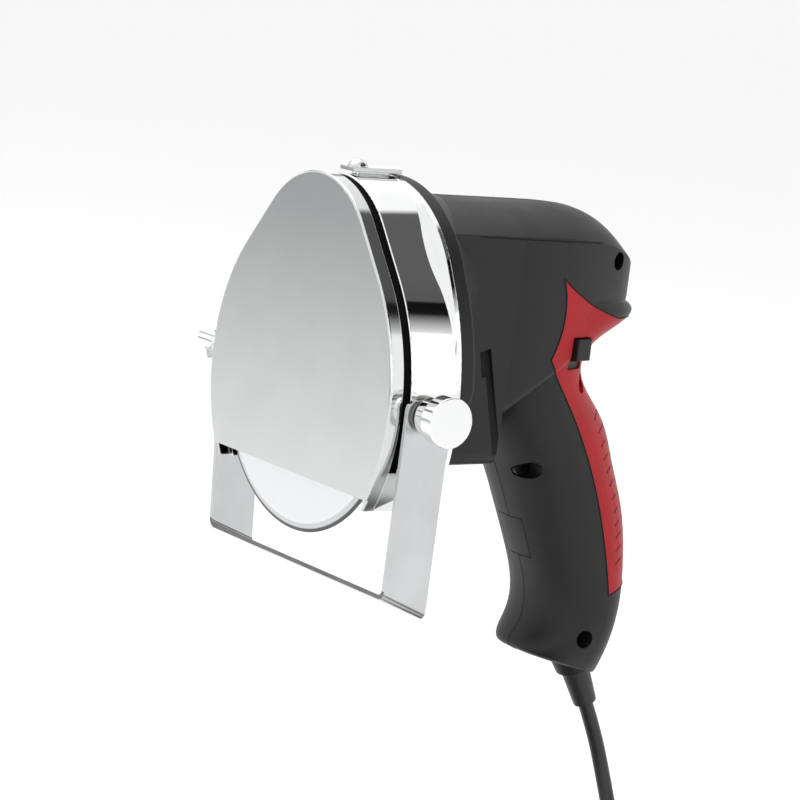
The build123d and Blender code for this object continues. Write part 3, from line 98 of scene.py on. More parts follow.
# Relief of a finish over edges that look rounded by edgeRadius millimetres
def addRelief(tree, shader, source, strength, depth, edgeRadius):
    rounded = addNode(tree, "ShaderNodeBevel", {"samples": 4, "Radius": edgeRadius * mm})
    relief = addNode(tree, "ShaderNodeBump", {"Strength": strength, "Distance": depth * mm},
                     {"Height": source, "Normal": (rounded, "Normal")})
    tree.links.new(relief.outputs["Normal"], shader.inputs["Normal"])


def colourRamp(tree, source, output, stops):
    ramp = addNode(tree, "ShaderNodeValToRGB", links={"Fac": (source, output)})
    while len(ramp.color_ramp.elements) < len(stops):
        ramp.color_ramp.elements.new(0.5)
    for element, (place, colour) in zip(ramp.color_ramp.elements, stops):
        element.position = place
        element.color = linear(colour)
    return ramp


# Moulded plastic: two near tones in slow patches, a fine spark-eroded grain, a little sheen on touch faces
def mouldedPlastic(name, dark, light, rough, grainSize, grainDepth, patchSize=18.0, sheen=0.0, edge=0.3):
    material, tree, shader, place = newFinish(name)
    patches = addNode(tree, "ShaderNodeTexNoise", {"Scale": 1000 / patchSize, "Detail": 4.0, "Roughness": 0.6},
                      {"Vector": (place, "Object")})
    tone = colourRamp(tree, patches, "Fac", [(0.35, dark), (0.68, light)])
    grain = addNode(tree, "ShaderNodeTexNoise", {"Scale": 1000 / grainSize, "Detail": 2.0},
                    {"Vector": (place, "Object")})
    roughness = addNode(tree, "ShaderNodeMapRange", {"From Min": 0.3, "From Max": 0.7, "To Min": rough - 0.05,
                                                     "To Max": rough + 0.07}, {"Value": (patches, "Fac")})
    addRelief(tree, shader, (grain, "Fac"), 0.5, grainDepth, edge)
    shader.inputs["IOR"].default_value = 1.5
    shader.inputs["Sheen Weight"].default_value = sheen
    shader.inputs["Sheen Roughness"].default_value = 0.6
    tree.links.new(tone.outputs["Color"], shader.inputs["Base Color"])
    tree.links.new(roughness.outputs["Result"], shader.inputs["Roughness"])
    return material


# Metal: fine grinding lines along one direction, drawn as noise stretched across it, over slow tone patches
def groundMetal(name, dark, light, rough, lineSize=0.25, stretch=(1, 1, 1), lineDepth=0.004, spread=0.05,
                edge=0.25):
    material, tree, shader, place = newFinish(name)
    squeeze = addNode(tree, "ShaderNodeMapping", {"Scale": stretch}, {"Vector": (place, "Object")})
    lines = addNode(tree, "ShaderNodeTexNoise", {"Scale": 1000 / lineSize, "Detail": 3.0},
                    {"Vector": (squeeze, "Vector")})
    patches = addNode(tree, "ShaderNodeTexNoise", {"Scale": 60.0, "Detail": 3.0}, {"Vector": (place, "Object")})
    tone = colourRamp(tree, patches, "Fac", [(0.35, dark), (0.7, light)])
    roughness = addNode(tree, "ShaderNodeMapRange", {"From Min": 0.3, "From Max": 0.7,
                                                     "To Min": max(0.02, rough - spread), "To Max": rough + spread},
                        {"Value": (lines, "Fac")})
    addRelief(tree, shader, (lines, "Fac"), 0.4, lineDepth, edge)
    shader.inputs["Metallic"].default_value = 1.0
    tree.links.new(tone.outputs["Color"], shader.inputs["Base Color"])
    tree.links.new(roughness.outputs["Result"], shader.inputs["Roughness"])
    return material


def patternedMetal(tree, shader, tone, metallic, rough):
    shader.inputs["Metallic"].default_value = metallic
    shader.inputs["Roughness"].default_value = rough
    tree.links.new(tone.outputs["Color"], shader.inputs["Base Color"])


# Blade steel: grinding rings round the blade's axis, which runs along Y through its middle
def ringGroundSteel(name, dark, light, rough, ringPitch):
    material, tree, shader, place = newFinish(name)
    low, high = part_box("blade")
    middle = [-(low[i] + high[i]) / 2 for i in range(3)]
    centred = addNode(tree, "ShaderNodeMapping", {"Location": middle}, {"Vector": (place, "Object")})
    rings = addNode(tree, "ShaderNodeTexWave", {"wave_type": "RINGS", "rings_direction": "Y", "Distortion": 1.2,
                                                "Scale": pi / 10 / (ringPitch * mm), "Detail": 3.0},
                    {"Vector": (centred, "Vector")})
    tone = colourRamp(tree, rings, "Fac", [(0.1, dark), (0.9, light)])
    addRelief(tree, shader, (rings, "Fac"), 0.25, 0.0015, 0.15)
    patternedMetal(tree, shader, tone, 1.0, rough)
    return material


# Cutting bevel: painted shade, bright where it leaves the face and dark towards the edge
def groundBevelPaintedShade(name, dark, light, darkFrom, rough):
    material, tree, shader, place = newFinish(name)
    low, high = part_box("blade")
    flat = addNode(tree, "ShaderNodeMapping", {"Location": (-(low[0] + high[0]) / 2, 0, -(low[2] + high[2]) / 2),
                                               "Scale": (1, 0, 1)}, {"Vector": (place, "Object")})
    outward = addNode(tree, "ShaderNodeVectorMath", {"operation": "LENGTH"}, {0: (flat, "Vector")})
    share = addNode(tree, "ShaderNodeMapRange", {"From Min": (darkFrom - 0.4) * mm, "From Max": darkFrom * mm},
                    {"Value": (outward, "Value")})
    tone = colourRamp(tree, share, "Result", [(0.0, light), (1.0, dark)])
    grit = addNode(tree, "ShaderNodeTexNoise", {"Scale": 4000.0, "Detail": 2.0}, {"Vector": (place, "Object")})
    addRelief(tree, shader, (grit, "Fac"), 0.3, 0.003, 0.1)
    patternedMetal(tree, shader, tone, 1.0, rough)
    return material


# Stacked or wound metal: bands that repeat along one axis at a real pitch
def bandedMetal(name, dark, light, pitch, axis, metallic, rough):
    material, tree, shader, place = newFinish(name)
    bands = addNode(tree, "ShaderNodeTexWave", {"bands_direction": axis, "Scale": pi / 10 / (pitch * mm),
                                                "Distortion": 0.6, "Detail": 2.0}, {"Vector": (place, "Object")})
    tone = colourRamp(tree, bands, "Fac", [(0.2, dark), (0.8, light)])
    addRelief(tree, shader, (bands, "Fac"), 0.6, pitch * 0.2, 0.2)
    patternedMetal(tree, shader, tone, metallic, rough)
    return material


# glass-filled nylon housing, eroded mould: near black with a soft even gleam
blackHousing = mouldedPlastic("glassFilledNylonBlack", "#131313", "#191918", 0.46, 0.5, 0.03)
# soft elastomer over the grip: deep red, a little velvety
redGrip = mouldedPlastic("overmouldedElastomerRed", "#9c0511", "#ab0916", 0.5, 0.45, 0.02, sheen=0.02)
# satin acetal for the switch and the trigger
greySwitch = mouldedPlastic("acetalDarkGrey", "#141213", "#1b1819", 0.42, 0.4, 0.01)
# the three moulded surfaces gleam less than the shader's usual plastic
for finish, level in ((blackHousing, 0.34), (redGrip, 0.32), (greySwitch, 0.3)):
    finish.node_tree.nodes["Principled BSDF"].inputs["Specular IOR Level"].default_value = level
# nitrile rubber strip: flat black
blackRubber = mouldedPlastic("nitrileRubberBlack", "#040404", "#080808", 0.85, 0.4, 0.02)
blackRubber.node_tree.nodes["Principled BSDF"].inputs["Specular IOR Level"].default_value = 0.1
# soft PVC sheath: black with a waxy gleam
cordSheath = mouldedPlastic("softVinylBlack", "#1b1b1c", "#242425", 0.4, 0.6, 0.01)
# unseen glass-filled nylon pieces
innerNylon = mouldedPlastic("naturalNylon", "#3a3935", "#4a4843", 0.5, 0.5, 0.02)
carbonBlock = mouldedPlastic("pressedCarbon", "#101012", "#1c1c1e", 0.6, 0.3, 0.02)
# polished stainless sheet: a clear but slightly milky mirror
polishedSteel = groundMetal("polishedStainlessSheet", "#d4d5d5", "#d8d9d9", 0.1, 0.4, (1, 1, 0.05), 0.0003,
                            0.015, 0.4)
# decorative chrome on a die casting: a hard mirror
brightChrome = groundMetal("brightChromePlate", "#f2f3f3", "#f6f6f6", 0.05, 1.5, (1, 1, 1), 0.0003, 0.01, 0.35)
# hardened blade steel, ground in rings
bladeSteel = ringGroundSteel("groundBladeSteel", "#e2e3e4", "#ecedee", 0.2, 0.35)
# satin strip steel, brushed along the strap
satinSteel = groundMetal("satinStripSteel", "#c6c7c8", "#cecfd0", 0.24, 0.22, (0.05, 1, 0.05), 0.0012, 0.04)
# zinc plating, passivated: dull silver with a faint crystal bloom
zincSteel = groundMetal("zincPlatedSteel", "#b4b6b2", "#c4c6c1", 0.34, 0.4, (1, 1, 1), 0.004, 0.08)
# low front faces of the guide's bar and the blade's cutting bevel: painted shade, darker than the other faces, the
# bar's with coarse lines
barFrontShadeSteel = groundMetal("barFrontPaintedShade", "#6c6c6a", "#7b7b79", 0.35, 0.3, (0.05, 1, 1), 0.004, 0.08)
# painted shade on the blade's bevel, darker towards its edge
bevelSteel = groundBevelPaintedShade("groundBevelPaintedShade", "#5c5d5e", "#cdcecf", 49.0, 0.3)
# the housing screws, sunk in their wells: near black, with a low metal gleam
darkWellScrewSteel = groundMetal("wellScrewDarkFinish", "#1c1c1d", "#28282a", 0.38, 0.4, (1, 1, 1), 0.004, 0.08)
# shadow in a parting line or an engraved stroke: no gleam of its own
seamShadow = mouldedPlastic("partingLineShadow", "#030303", "#060606", 0.9, 0.4, 0.01)
strokeShadow = mouldedPlastic("engravedStrokeShadow", "#4a060c", "#57090f", 0.8, 0.4, 0.01)
# lighter red along the step at the palm band's edge: a painted highlight on a real step
redStepHighlight = mouldedPlastic("mouldedRedStepHighlight", "#a8222c", "#b52c36", 0.5, 0.4, 0.01)
gearSteel = groundMetal("oiledGearSteel", "#6f7072", "#85868a", 0.36, 0.3, (1, 0.1, 1), 0.006, 0.08)
shaftSteel = groundMetal("groundShaftSteel", "#9b9ca0", "#b0b1b4", 0.22, 0.2, (1, 8, 1), 0.003, 0.06)
bearingSteel = groundMetal("bearingSteel", "#a9abae", "#bcbec0", 0.18, 0.2, (1, 1, 1), 0.002, 0.05)
castAluminium = groundMetal("castAluminium", "#8f9092", "#a2a3a5", 0.5, 0.8, (1, 1, 1), 0.02, 0.08)
copperBar = groundMetal("turnedCopper", "#b06a41", "#c47c50", 0.3, 0.25, (1, 6, 1), 0.004, 0.06)
brassPin = groundMetal("drawnBrass", "#c4a466", "#d3b478", 0.26, 0.3, (0.1, 1, 1), 0.003, 0.06)
laminations = bandedMetal("stampedLaminations", "#45464a", "#6b6c70", 0.5, "Y", 1.0, 0.45)
enamelledWire = bandedMetal("enamelledCopperWire", "#6e2f14", "#b0562a", 0.45, "Z", 0.6, 0.35)

nodeFinishes = {
    "right_shell": blackHousing, "left_shell": blackHousing, "cable_gland": blackHousing,
    "grip_insert": redGrip, "front_trigger": greySwitch, "switch_button": greySwitch,
    "front_cover": polishedSteel, "gear_case": brightChrome, "cover_gasket": blackRubber,
    "gear_case_back": castAluminium, "case_screws": zincSteel, "cover_nuts": zincSteel,
    "top_clip": polishedSteel, "clip_screw": polishedSteel, "blade": bladeSteel, "blade_screw": zincSteel,
    "spindle": shaftSteel, "drive_gear": gearSteel, "pinion_gear": gearSteel,
    "spindle_bearing_front": bearingSteel, "spindle_bearing_rear": bearingSteel,
    "motor_bearing_front": bearingSteel, "motor_bearing_rear": bearingSteel,
    "motor_shaft": shaftSteel, "armature_core": laminations, "stator_core": laminations,
    "armature_windings": enamelledWire, "field_coils": enamelledWire, "commutator": copperBar,
    "cooling_fan": innerNylon, "carbon_brushes": carbonBlock, "brush_holders": brassPin,
    "brush_springs": shaftSteel, "shell_screws": darkWellScrewSteel, "switch_body": innerNylon,
    "trigger_switch": innerNylon, "trigger_spring": shaftSteel, "cord_clamp": innerNylon,
    "thickness_guide": satinSteel, "pivot_studs": zincSteel, "guide_washers": zincSteel,
    "right_knob": brightChrome, "left_knob": brightChrome, "cord_boot": cordSheath, "cord_entry": cordSheath,
    "coil_tie": innerNylon, "plug_body": cordSheath, "plug_pins": brassPin,
}
for name, material in nodeFinishes.items():
    mesh = nodes[name].data
    mesh.materials.clear()
    mesh.materials.append(material)
print("finishes on the frame's pieces")


def placed(name, mesh):
    piece = bpy.data.objects.new(name, mesh)
    bpy.context.scene.collection.objects.link(piece)
    return piece


def mergedMesh(build, name):
    build.verts.index_update()
    mesh = bpy.data.meshes.new(name)
    mesh.from_pydata([vert.co.copy() for vert in build.verts], [],
                     [[vert.index for vert in face.verts] for face in build.faces])
    return mesh


def mergedCopy(node):
    build = bmesh.new()
    build.from_mesh(nodes[node].data)
    bmesh.ops.remove_doubles(build, verts=build.verts, dist=polish["mergeDistance"] * mm)
    build.normal_update()
    return build


# Bright metal: merged copies that shade smoothly, because a mirror shows every facet of a loose mesh
polish = {
    "mergeDistance": 0.002, "sharpAngle": 28.0,
    "nodes": {"gear_case": "gearCaseBright", "front_cover": "frontCoverBright", "right_knob": "rightKnobBright",
              "left_knob": "leftKnobBright", "top_clip": "topClipBright", "clip_screw": "clipScrewBright",
              "blade": "bladeGround", "thickness_guide": "guideStrapSatin"},
    "bevelTilt": (0.15, 0.97), "barHeight": 11.5, "barFrontTilt": -0.5,
}


def polishedCopy(node, name):
    build = mergedCopy(node)
    mesh = mergedMesh(build, name)
    build.free()
    mesh.shade_smooth()
    mesh.set_sharp_from_angle(angle=radians(polish["sharpAngle"]))
    mesh.materials.append(nodeFinishes[node])
    if node == "blade":
        mesh.materials.append(bevelSteel)
        for face in mesh.polygons:
            face.material_index = int(polish["bevelTilt"][0] < -face.normal.y < polish["bevelTilt"][1])
    if node == "thickness_guide":
        # the bar's low front faces take the darker steel: painted shade
        mesh.materials.append(barFrontShadeSteel)
        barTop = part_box(node)[0][2] + polish["barHeight"] * mm
        for face in mesh.polygons:
            face.material_index = int(face.normal.y < polish["barFrontTilt"] and face.center.z < barTop)
    piece = placed(name, mesh)
    even = piece.modifiers.new("evenShading", "WEIGHTED_NORMAL")
    even.keep_sharp = True
    shaded = bpy.data.meshes.new_from_object(piece.evaluated_get(bpy.context.evaluated_depsgraph_get()))
    piece.modifiers.remove(even)
    piece.data = shaded
    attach(piece, nodes[node]["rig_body"])
    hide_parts(node)


for node, name in polish["nodes"].items():
    polishedCopy(node, name)
print("bright pieces shaded smooth")


# Geometry Nodes sweep: a wire of edges becomes a thin round line
def lineTree():
    tree = bpy.data.node_groups.new("lineAlongEdges", "GeometryNodeTree")
    for name, kind in (("Wire", "NodeSocketGeometry"), ("Line Radius", "NodeSocketFloat"),
                       ("Sides", "NodeSocketInt"), ("Finish", "NodeSocketMaterial")):
        tree.interface.new_socket(name, in_out="INPUT", socket_type=kind)
    tree.interface.new_socket("Line", in_out="OUTPUT", socket_type="NodeSocketGeometry")
    given = addNode(tree, "NodeGroupInput")
    path = addNode(tree, "GeometryNodeMeshToCurve", links={"Mesh": (given, "Wire")})
    ring = addNode(tree, "GeometryNodeCurvePrimitiveCircle",
                   links={"Resolution": (given, "Sides"), "Radius": (given, "Line Radius")})
    swept = addNode(tree, "GeometryNodeCurveToMesh", {"Fill Caps": True},
                    {"Curve": (path, "Curve"), "Profile Curve": (ring, "Curve")})
    real = addNode(tree, "GeometryNodeRealizeInstances", links={"Geometry": (swept, "Mesh")})
    coat = addNode(tree, "GeometryNodeSetMaterial", links={"Geometry": (real, "Geometry"),
                                                           "Material": (given, "Finish")})
    addNode(tree, "NodeGroupOutput", links={"Line": (coat, "Geometry")})
    return tree


def sweptLine(name, tree, points, edges, sizes, finish, body="root"):
    wire = bpy.data.meshes.new(name + "Wire")
    wire.from_pydata(points, edges, [])
    piece = placed(name, wire)
    growth = piece.modifiers.new("growth", "NODES")
    growth.node_group = tree
    given = {"Line Radius": sizes["radius"] * mm, "Sides": sizes["sides"], "Finish": finish}
    for item in tree.interface.items_tree:
        if item.in_out == "INPUT" and item.name in given:
            growth[item.identifier] = given[item.name]
    line = bpy.data.meshes.new_from_object(piece.evaluated_get(bpy.context.evaluated_depsgraph_get()))
    piece.modifiers.remove(growth)
    piece.data = line
    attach(piece, body)


def surfaceTree(*names):
    build = bmesh.new()
    for name in names:
        build.from_mesh(nodes[name].data)
    tree = BVHTree.FromBMesh(build)
    build.free()
    return tree


# Sharp edges of a piece that lie on the tool's outer skin
def skinEdges(node, others, test, sizes):
    build = mergedCopy(node)
    found = []
    for edge in build.edges:
        if len(edge.link_faces) != 2 or edge.calc_face_angle() < radians(sizes["sharpAngle"]):
            continue
        middle = (edge.verts[0].co + edge.verts[1].co) / 2
        outward = (edge.link_faces[0].normal + edge.link_faces[1].normal).normalized()
        if test(edge, middle) and others.ray_cast(middle + outward * sizes["lift"] * mm, outward)[0] is None:
            found.append([vert.index for vert in edge.verts])
    build.verts.ensure_lookup_table()
    used = sorted({index for pair in found for index in pair})
    number = {index: place for place, index in enumerate(used)}
    points = [build.verts[index].co.copy() for index in used]
    build.free()
    return points, [(number[a], number[b]) for a, b in found]


line = lineTree()

# Dark joint round the red insert, where it meets the housing
insertJoint = {"radius": 0.26, "sides": 8, "sharpAngle": 45.0, "lift": 0.08, "reach": 0.3}
shells = surfaceTree("right_shell", "left_shell")
skin = surfaceTree("right_shell", "left_shell", "grip_insert", "gear_case", "cable_gland")
points, edges = skinEdges("grip_insert", skin,
                          lambda edge, middle: shells.find_nearest(middle)[3] < insertJoint["reach"] * mm, insertJoint)
sweptLine("insertJointLine", line, points, edges, insertJoint, seamShadow)

# Parting line of the two housing shells
partingLine = {"radius": 0.09, "sides": 8, "sharpAngle": 45.0, "lift": 0.05, "halfWidth": 0.06}
points, edges = skinEdges("right_shell", skin,
                          lambda edge, middle: all(abs(vert.co.x) < partingLine["halfWidth"] * mm
                                                   for vert in edge.verts), partingLine)
sweptLine("shellPartingLine", line, points, edges, partingLine, seamShadow)
print("joint and parting lines laid")

# Engraved strokes beside the palm grooves, and the soft edge of the band that they stand in. Both are measured
# on the outline seen from the front quarter: height up the picture, and depth inside the outline.
palmStrokes = {"radius": 0.28, "sides": 8, "count": 12, "top": 47.7, "pitch": 4.62, "height": 3.6,
               "lowDepth": 3.2, "highDepth": 0.3, "steps": 6, "sink": 0.1}
palmEdge = {"radius": 0.13, "sides": 8, "top": 49.0, "bottom": -10.0, "step": 1.5, "depth": 2.5, "sink": 0.03}
quarter = {"across": (0.565339, 0.816474, 0.117311), "up": (-0.197389, -0.004177, 0.980316),
           "towards": (0.800893, -0.577367, 0.158801), "halfDepth": 18.0, "reach": 60.0, "degrees": 95}
gripSkin = surfaceTree("grip_insert")


def gripPlace(height, depth, sink):
    across, up, towards = (Vector(quarter[key]) for key in ("across", "up", "towards"))
    reach = quarter["reach"] * mm
    rear = gripSkin.ray_cast(up * height * mm + across * reach, -across)[0]
    middle = rear - across * quarter["halfDepth"] * mm
    hits = []
    for degrees in range(quarter["degrees"]):
        away = towards * cos(radians(degrees)) + across * sin(radians(degrees))
        hit = gripSkin.ray_cast(middle + away * reach, -away)[0]
        if hit is not None:
            hits.append((across.dot(hit), hit))
    top = max(range(len(hits)), key=lambda i: hits[i][0])
    level = hits[top][0] - depth * mm
    while top > 0 and hits[top][0] > level:
        top -= 1
    after = hits[min(top + 1, len(hits) - 1)]
    share = (level - hits[top][0]) / max(after[0] - hits[top][0], 1e-9)
    place, normal = gripSkin.find_nearest(hits[top][1].lerp(after[1], min(max(share, 0), 1)))[:2]
    return place - normal * sink * mm


# Adds a run of points and its mirror image on the left side
def addRun(points, edges, run):
    for side in (1, -1):
        edges.extend((len(points) + i, len(points) + i + 1) for i in range(len(run) - 1))
        points.extend(Vector((side * place.x, place.y, place.z)) for place in run)


points, edges = [], []
for index in range(palmStrokes["count"]):
    low = palmStrokes["top"] - index * palmStrokes["pitch"] - palmStrokes["height"]
    run = []
    for step in range(palmStrokes["steps"] + 1):
        share = step / palmStrokes["steps"]
        depth = palmStrokes["lowDepth"] + share * (palmStrokes["highDepth"] - palmStrokes["lowDepth"])
        run.append(gripPlace(low + share * palmStrokes["height"], depth, palmStrokes["sink"]))
    addRun(points, edges, run)
sweptLine("palmStrokeLines", line, points, edges, palmStrokes, strokeShadow)
points, edges = [], []
edgeSteps = int((palmEdge["top"] - palmEdge["bottom"]) / palmEdge["step"])
addRun(points, edges, [gripPlace(palmEdge["top"] - i * palmEdge["step"], palmEdge["depth"], palmEdge["sink"])
                       for i in range(edgeSteps + 1)])
# the band's edge is drawn in a lighter red: a painted highlight along the step
sweptLine("palmBandEdge", line, points, edges, palmEdge, redStepHighlight)
print("palm strokes cut")

# Shadow line under the roof's crease on both sides. It is straight, from the median height where the side turns
# into the roof near each end. The slot's painted shade starts from the face that a ray at its seed point meets.
roofCrease = {"radius": 0.42, "sides": 8, "sink": 0.3, "from": 47.0, "to": 104.0, "steps": 30, "low": 48.0,
              "high": 58.0, "rise": 0.25, "below": 0.6, "rayStart": 60.0, "spread": 7}
noseSlot = {"sharpAngle": 8.0, "lift": 0.04, "seed": (40.0, -59.5, 55.0), "most": 60}
sideSkin = surfaceTree("right_shell")


# Height at which the side turns fastest into the roof, at one place along the housing
def creaseHeight(along, sizes):
    found = []
    height = sizes["low"]
    while height < sizes["high"]:
        start = (Vector((sizes["rayStart"], along, height)) + headOffset) * mm
        normal = sideSkin.ray_cast(start, inward)[1]
        if normal is not None:
            found.append((normal, height))
        height += sizes["rise"]
    return max((found[i][0].angle(found[i + 2][0], 0), found[i + 1][1])
               for i in range(len(found) - 2))[1]


def creasePoints(sizes):
    places = [sizes["from"] + (sizes["to"] - sizes["from"]) * i / sizes["steps"]
              for i in range(sizes["steps"] + 1)]
    heights = [creaseHeight(place, sizes) for place in places]
    ends = [sorted(part)[len(part) // 2]
            for part in (heights[:sizes["spread"]], heights[-sizes["spread"]:])]
    points = []
    for i, place in enumerate(places):
        height = ends[0] + (ends[1] - ends[0]) * i / sizes["steps"] - sizes["below"]
        start = (Vector((sizes["rayStart"], place, height)) + headOffset) * mm
        hit, normal = sideSkin.ray_cast(start, inward)[:2]
        points.append(hit - normal * sizes["sink"] * mm)
    return points


rightCrease = creasePoints(roofCrease)
points = rightCrease + [Vector((-place.x, place.y, place.z)) for place in rightCrease]
count = len(rightCrease)
edges = [(i, i + 1) for i in range(2 * count - 1) if i != count - 1]
sweptLine("roofCreaseShadow", line, points, edges, roofCrease, seamShadow)


# Painted shade in the slot in the nose: a black sheet over the slot's own floor and walls, up to its outer rim, lifted
# a hair
def makeSlotPaintedShade(name, node, sizes, finish):
    build = mergedCopy(node)
    tree = BVHTree.FromBMesh(build)
    first = tree.ray_cast(Vector(sizes["seed"]) * mm, inward)[2]
    build.faces.ensure_lookup_table()
    kept, waiting = {first}, [build.faces[first]]
    while waiting and len(kept) < sizes["most"]:
        for edge in waiting.pop().edges:
            if len(edge.link_faces) != 2:
                continue
            if edge.is_convex and edge.calc_face_angle() > radians(sizes["sharpAngle"]):
                continue
            for face in edge.link_faces:
                if face.index not in kept:
                    kept.add(face.index)
                    waiting.append(face)
    bmesh.ops.delete(build, geom=[face for face in build.faces if face.index not in kept], context="FACES")
    build.normal_update()
    places = [vert.co + vert.normal * sizes["lift"] * mm for vert in build.verts]
    for vert, place in zip(build.verts, places):
        vert.co = place
    mesh = bpy.data.meshes.new(name)
    build.to_mesh(mesh)
    build.free()
    mesh.materials.append(finish)
    piece = placed(name, mesh)
    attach(piece, "root")


# black sheet of painted shade over the nose slot
makeSlotPaintedShade("noseSlotPaintedShade", "right_shell", noseSlot, seamShadow)
print("crease and slot shadows laid")


# The cord: free route from the boot, then the coil by its half turns, then out to the plug
cordSizes = {"diameter": 5.4, "pitch": 5.9, "innerRadius": 21.4, "turnsDown": 7, "turnsUp": 6,
             "exitRadius": 28.0, "exitSteps": 6, "stepsPerHalfTurn": 12, "length": 1.581}
cordRoute = [
    (0.0, 18.08, -57.87),
    (0.0, 24.16, -69.5),
    (1.5, 28.7, -83.2),
    (7.0, 30.0, -97.0),
    (16.5, 27.5, -109.0),
    (28.5, 21.0, -115.4),
    (40.5, 10.5, -116.2),
    (48.5, -3.5, -116.2),
    (51.55, -17.5, -116.2),
    (51.55, -29.5, -116.2),
]


def coilRoute(sizes, start):
    x, y, z = start
    y -= sizes["diameter"]
    points = [(x, y, z)]
    step = sizes["pitch"] / 2
    inner = sizes["innerRadius"]
    down = [inner + step * (sizes["turnsDown"] - i) for i in range(sizes["turnsDown"])]
    up = [inner + step * (i + 1) for i in range(sizes["turnsUp"])]
    side = -1
    for radius in down + [inner] + up:
        rise = sizes["pitch"] if radius == inner else 0.0
        for i in range(1, sizes["stepsPerHalfTurn"] + 1):
            turn = pi * i / sizes["stepsPerHalfTurn"]
            points.append((x + side * radius * (1 - cos(turn)), y + side * radius * sin(turn),
                           z + rise * (1 - cos(turn)) / 2))
        x += side * 2 * radius
        z += rise
        side = -side
    for i in range(1, sizes["exitSteps"] + 1):
        turn = pi / 2 * i / sizes["exitSteps"]
        points.append((x + sizes["exitRadius"] * (1 - cos(turn)), y - sizes["exitRadius"] * sin(turn), z))
    points.append((x + sizes["exitRadius"] + sizes["diameter"], y - sizes["exitRadius"], z))
    return points


def makeCord(sizes, route):
    curve = bpy.data.curves.new("mainsCordLine", "CURVE")
    curve.dimensions = "3D"
    curve.bevel_depth = sizes["diameter"] / 2 * mm
    curve.bevel_resolution = 5
    curve.resolution_u = 4
    curve.use_fill_caps = True
    points = route + coilRoute(sizes, route[-1])
    spline = curve.splines.new("NURBS")
    spline.points.add(len(points) - 1)
    for place, point in zip(points, spline.points):
        point.co = (place[0] * mm, place[1] * mm, place[2] * mm, 1.0)
    spline.order_u = 3
    spline.use_endpoint_u = True
    curve.materials.append(cordSheath)
    return placed("mainsCord", curve)


mainsCord = makeCord(cordSizes, cordRoute)
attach(mainsCord, "root")
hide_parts("mains_cord", "cord_coil")
print("cord laid")


# Studio: pale floor with painted shade towards one far side, soft overhead light, a side light and a dim sky that the
# bright metal mirrors
studio = {
    "floorHeight": -0.120, "floorSize": 30.0, "floorNear": "#ffffff", "floorFarPaintedShade": "#b9bbbc",
    "farSide": (-0.35, -0.937, 0.0), "farStart": 0.6, "farEnd": 1.92,
    "skyStrength": 1.24, "darkQuarter": (0.63, 0.586, 0.508), "quarterEdge": (0.765, 0.82),
    "quarterTones": [(0.465, "#ffffff"), (0.47, "#d2d2d2"), (0.59, "#141414"), (0.655, "#0c0c0c"),
                     (0.66, "#505050"), (0.9, "#5a5a5a")],
    "skyTones": [(0.0, "#ffffff"), (0.3, "#ffffff"), (0.34, "#7c7c7c"), (0.38, "#7c7c7c"), (0.43, "#ffffff"),
                 (1.0, "#e4e4e4")],
    "lamps": [
        ("overheadLight", (-0.5, -0.2, 1.3), (0, 0, 0), (1.6, 1.2), 6),
        ("rightLight", (1.5, -0.4, 0.7), (0, 0, 0), (0.9, 0.9), 2),
    ],
}


def makeFloor():
    material, tree, shader, place = newFinish("paleFloorPaintedShade")
    # painted shade: the floor turns from white to grey towards the far side, standing for light that falls off there
    toward = addNode(tree, "ShaderNodeVectorMath", {"operation": "DOT_PRODUCT", 1: studio["farSide"]},
                     {0: (place, "Object")})
    along = addNode(tree, "ShaderNodeMapRange", {"From Min": studio["farStart"], "From Max": studio["farEnd"]},
                    {"Value": (toward, "Value")})
    tone = colourRamp(tree, along, "Result", [(0.0, studio["floorNear"]), (1.0, studio["floorFarPaintedShade"])])
    tree.links.new(tone.outputs["Color"], shader.inputs["Base Color"])
    shader.inputs["Roughness"].default_value = 0.8
    mesh = bpy.data.meshes.new("studioFloor")
    build = bmesh.new()
    bmesh.ops.create_grid(build, x_segments=2, y_segments=2, size=studio["floorSize"],
                          matrix=Matrix.Translation((0, 0, studio["floorHeight"])))
    build.to_mesh(mesh)
    build.free()
    mesh.materials.append(material)
    placed("studioFloor", mesh)


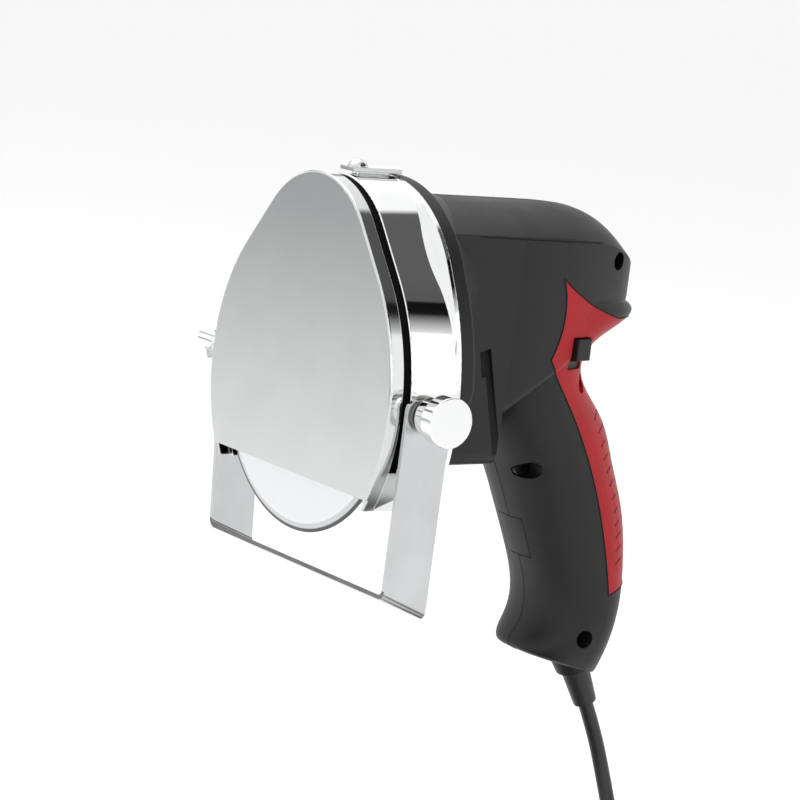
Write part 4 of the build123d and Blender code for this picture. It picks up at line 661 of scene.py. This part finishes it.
def softLight(name, place, target, size, power):
    lamp = bpy.data.lights.new(name, "AREA")
    lamp.shape = "RECTANGLE"
    lamp.size, lamp.size_y = size
    lamp.energy = power
    light = placed(name, lamp)
    light.location = place
    light.rotation_euler = (Vector(target) - Vector(place)).to_track_quat("-Z", "Y").to_euler()


makeFloor()
for lamp in studio["lamps"]:
    softLight(*lamp)


# Sky: white round the table, with a dark quarter up behind the tool that the bright metal mirrors
def makeSky():
    world = bpy.data.worlds.new("studioSky")
    world.use_nodes = True
    tree = world.node_tree
    backdrop = tree.nodes["Background"]
    backdrop.inputs["Strength"].default_value = studio["skyStrength"]
    place = addNode(tree, "ShaderNodeTexCoord")
    height = addNode(tree, "ShaderNodeSeparateXYZ", links={"Vector": (place, "Generated")})
    tones = colourRamp(tree, height, "Z", studio["quarterTones"])
    toward = addNode(tree, "ShaderNodeVectorMath", {"operation": "DOT_PRODUCT", 1: studio["darkQuarter"]},
                     {0: (place, "Generated")})
    inside = addNode(tree, "ShaderNodeMapRange", {"From Min": studio["quarterEdge"][0],
                                                  "From Max": studio["quarterEdge"][1]}, {"Value": (toward, "Value")})
    around = colourRamp(tree, height, "Z", studio["skyTones"])
    sky = addNode(tree, "ShaderNodeMix", {"data_type": "RGBA"},
                  {0: (inside, "Result"), 6: (around, "Color"), 7: (tones, "Color")})
    tree.links.new(sky.outputs[2], backdrop.inputs["Color"])
    bpy.context.scene.world = world


makeSky()
bpy.context.scene.view_settings.view_transform = "Standard"  # plain whites and blacks, as in a catalogue shot

# Camera at the photograph's viewing angle
view = {"eye": (0.91481, -0.73836, 0.23315), "right": (0.565339, 0.816474, 0.117311),
        "up": (-0.197389, -0.004177, 0.980316), "back": (0.800893, -0.577367, 0.158801), "lens": 152.28}
camera = bpy.data.cameras.new("viewCamera")
camera.lens = view["lens"]
camera.sensor_width = 36.0
camera.clip_end = 100.0
eye = placed("viewCamera", camera)
turned = Matrix((view["right"], view["up"], view["back"])).transposed().to_4x4()
eye.matrix_world = Matrix.Translation(view["eye"]) @ turned
bpy.context.scene.camera = eye
print("studio and camera ready")
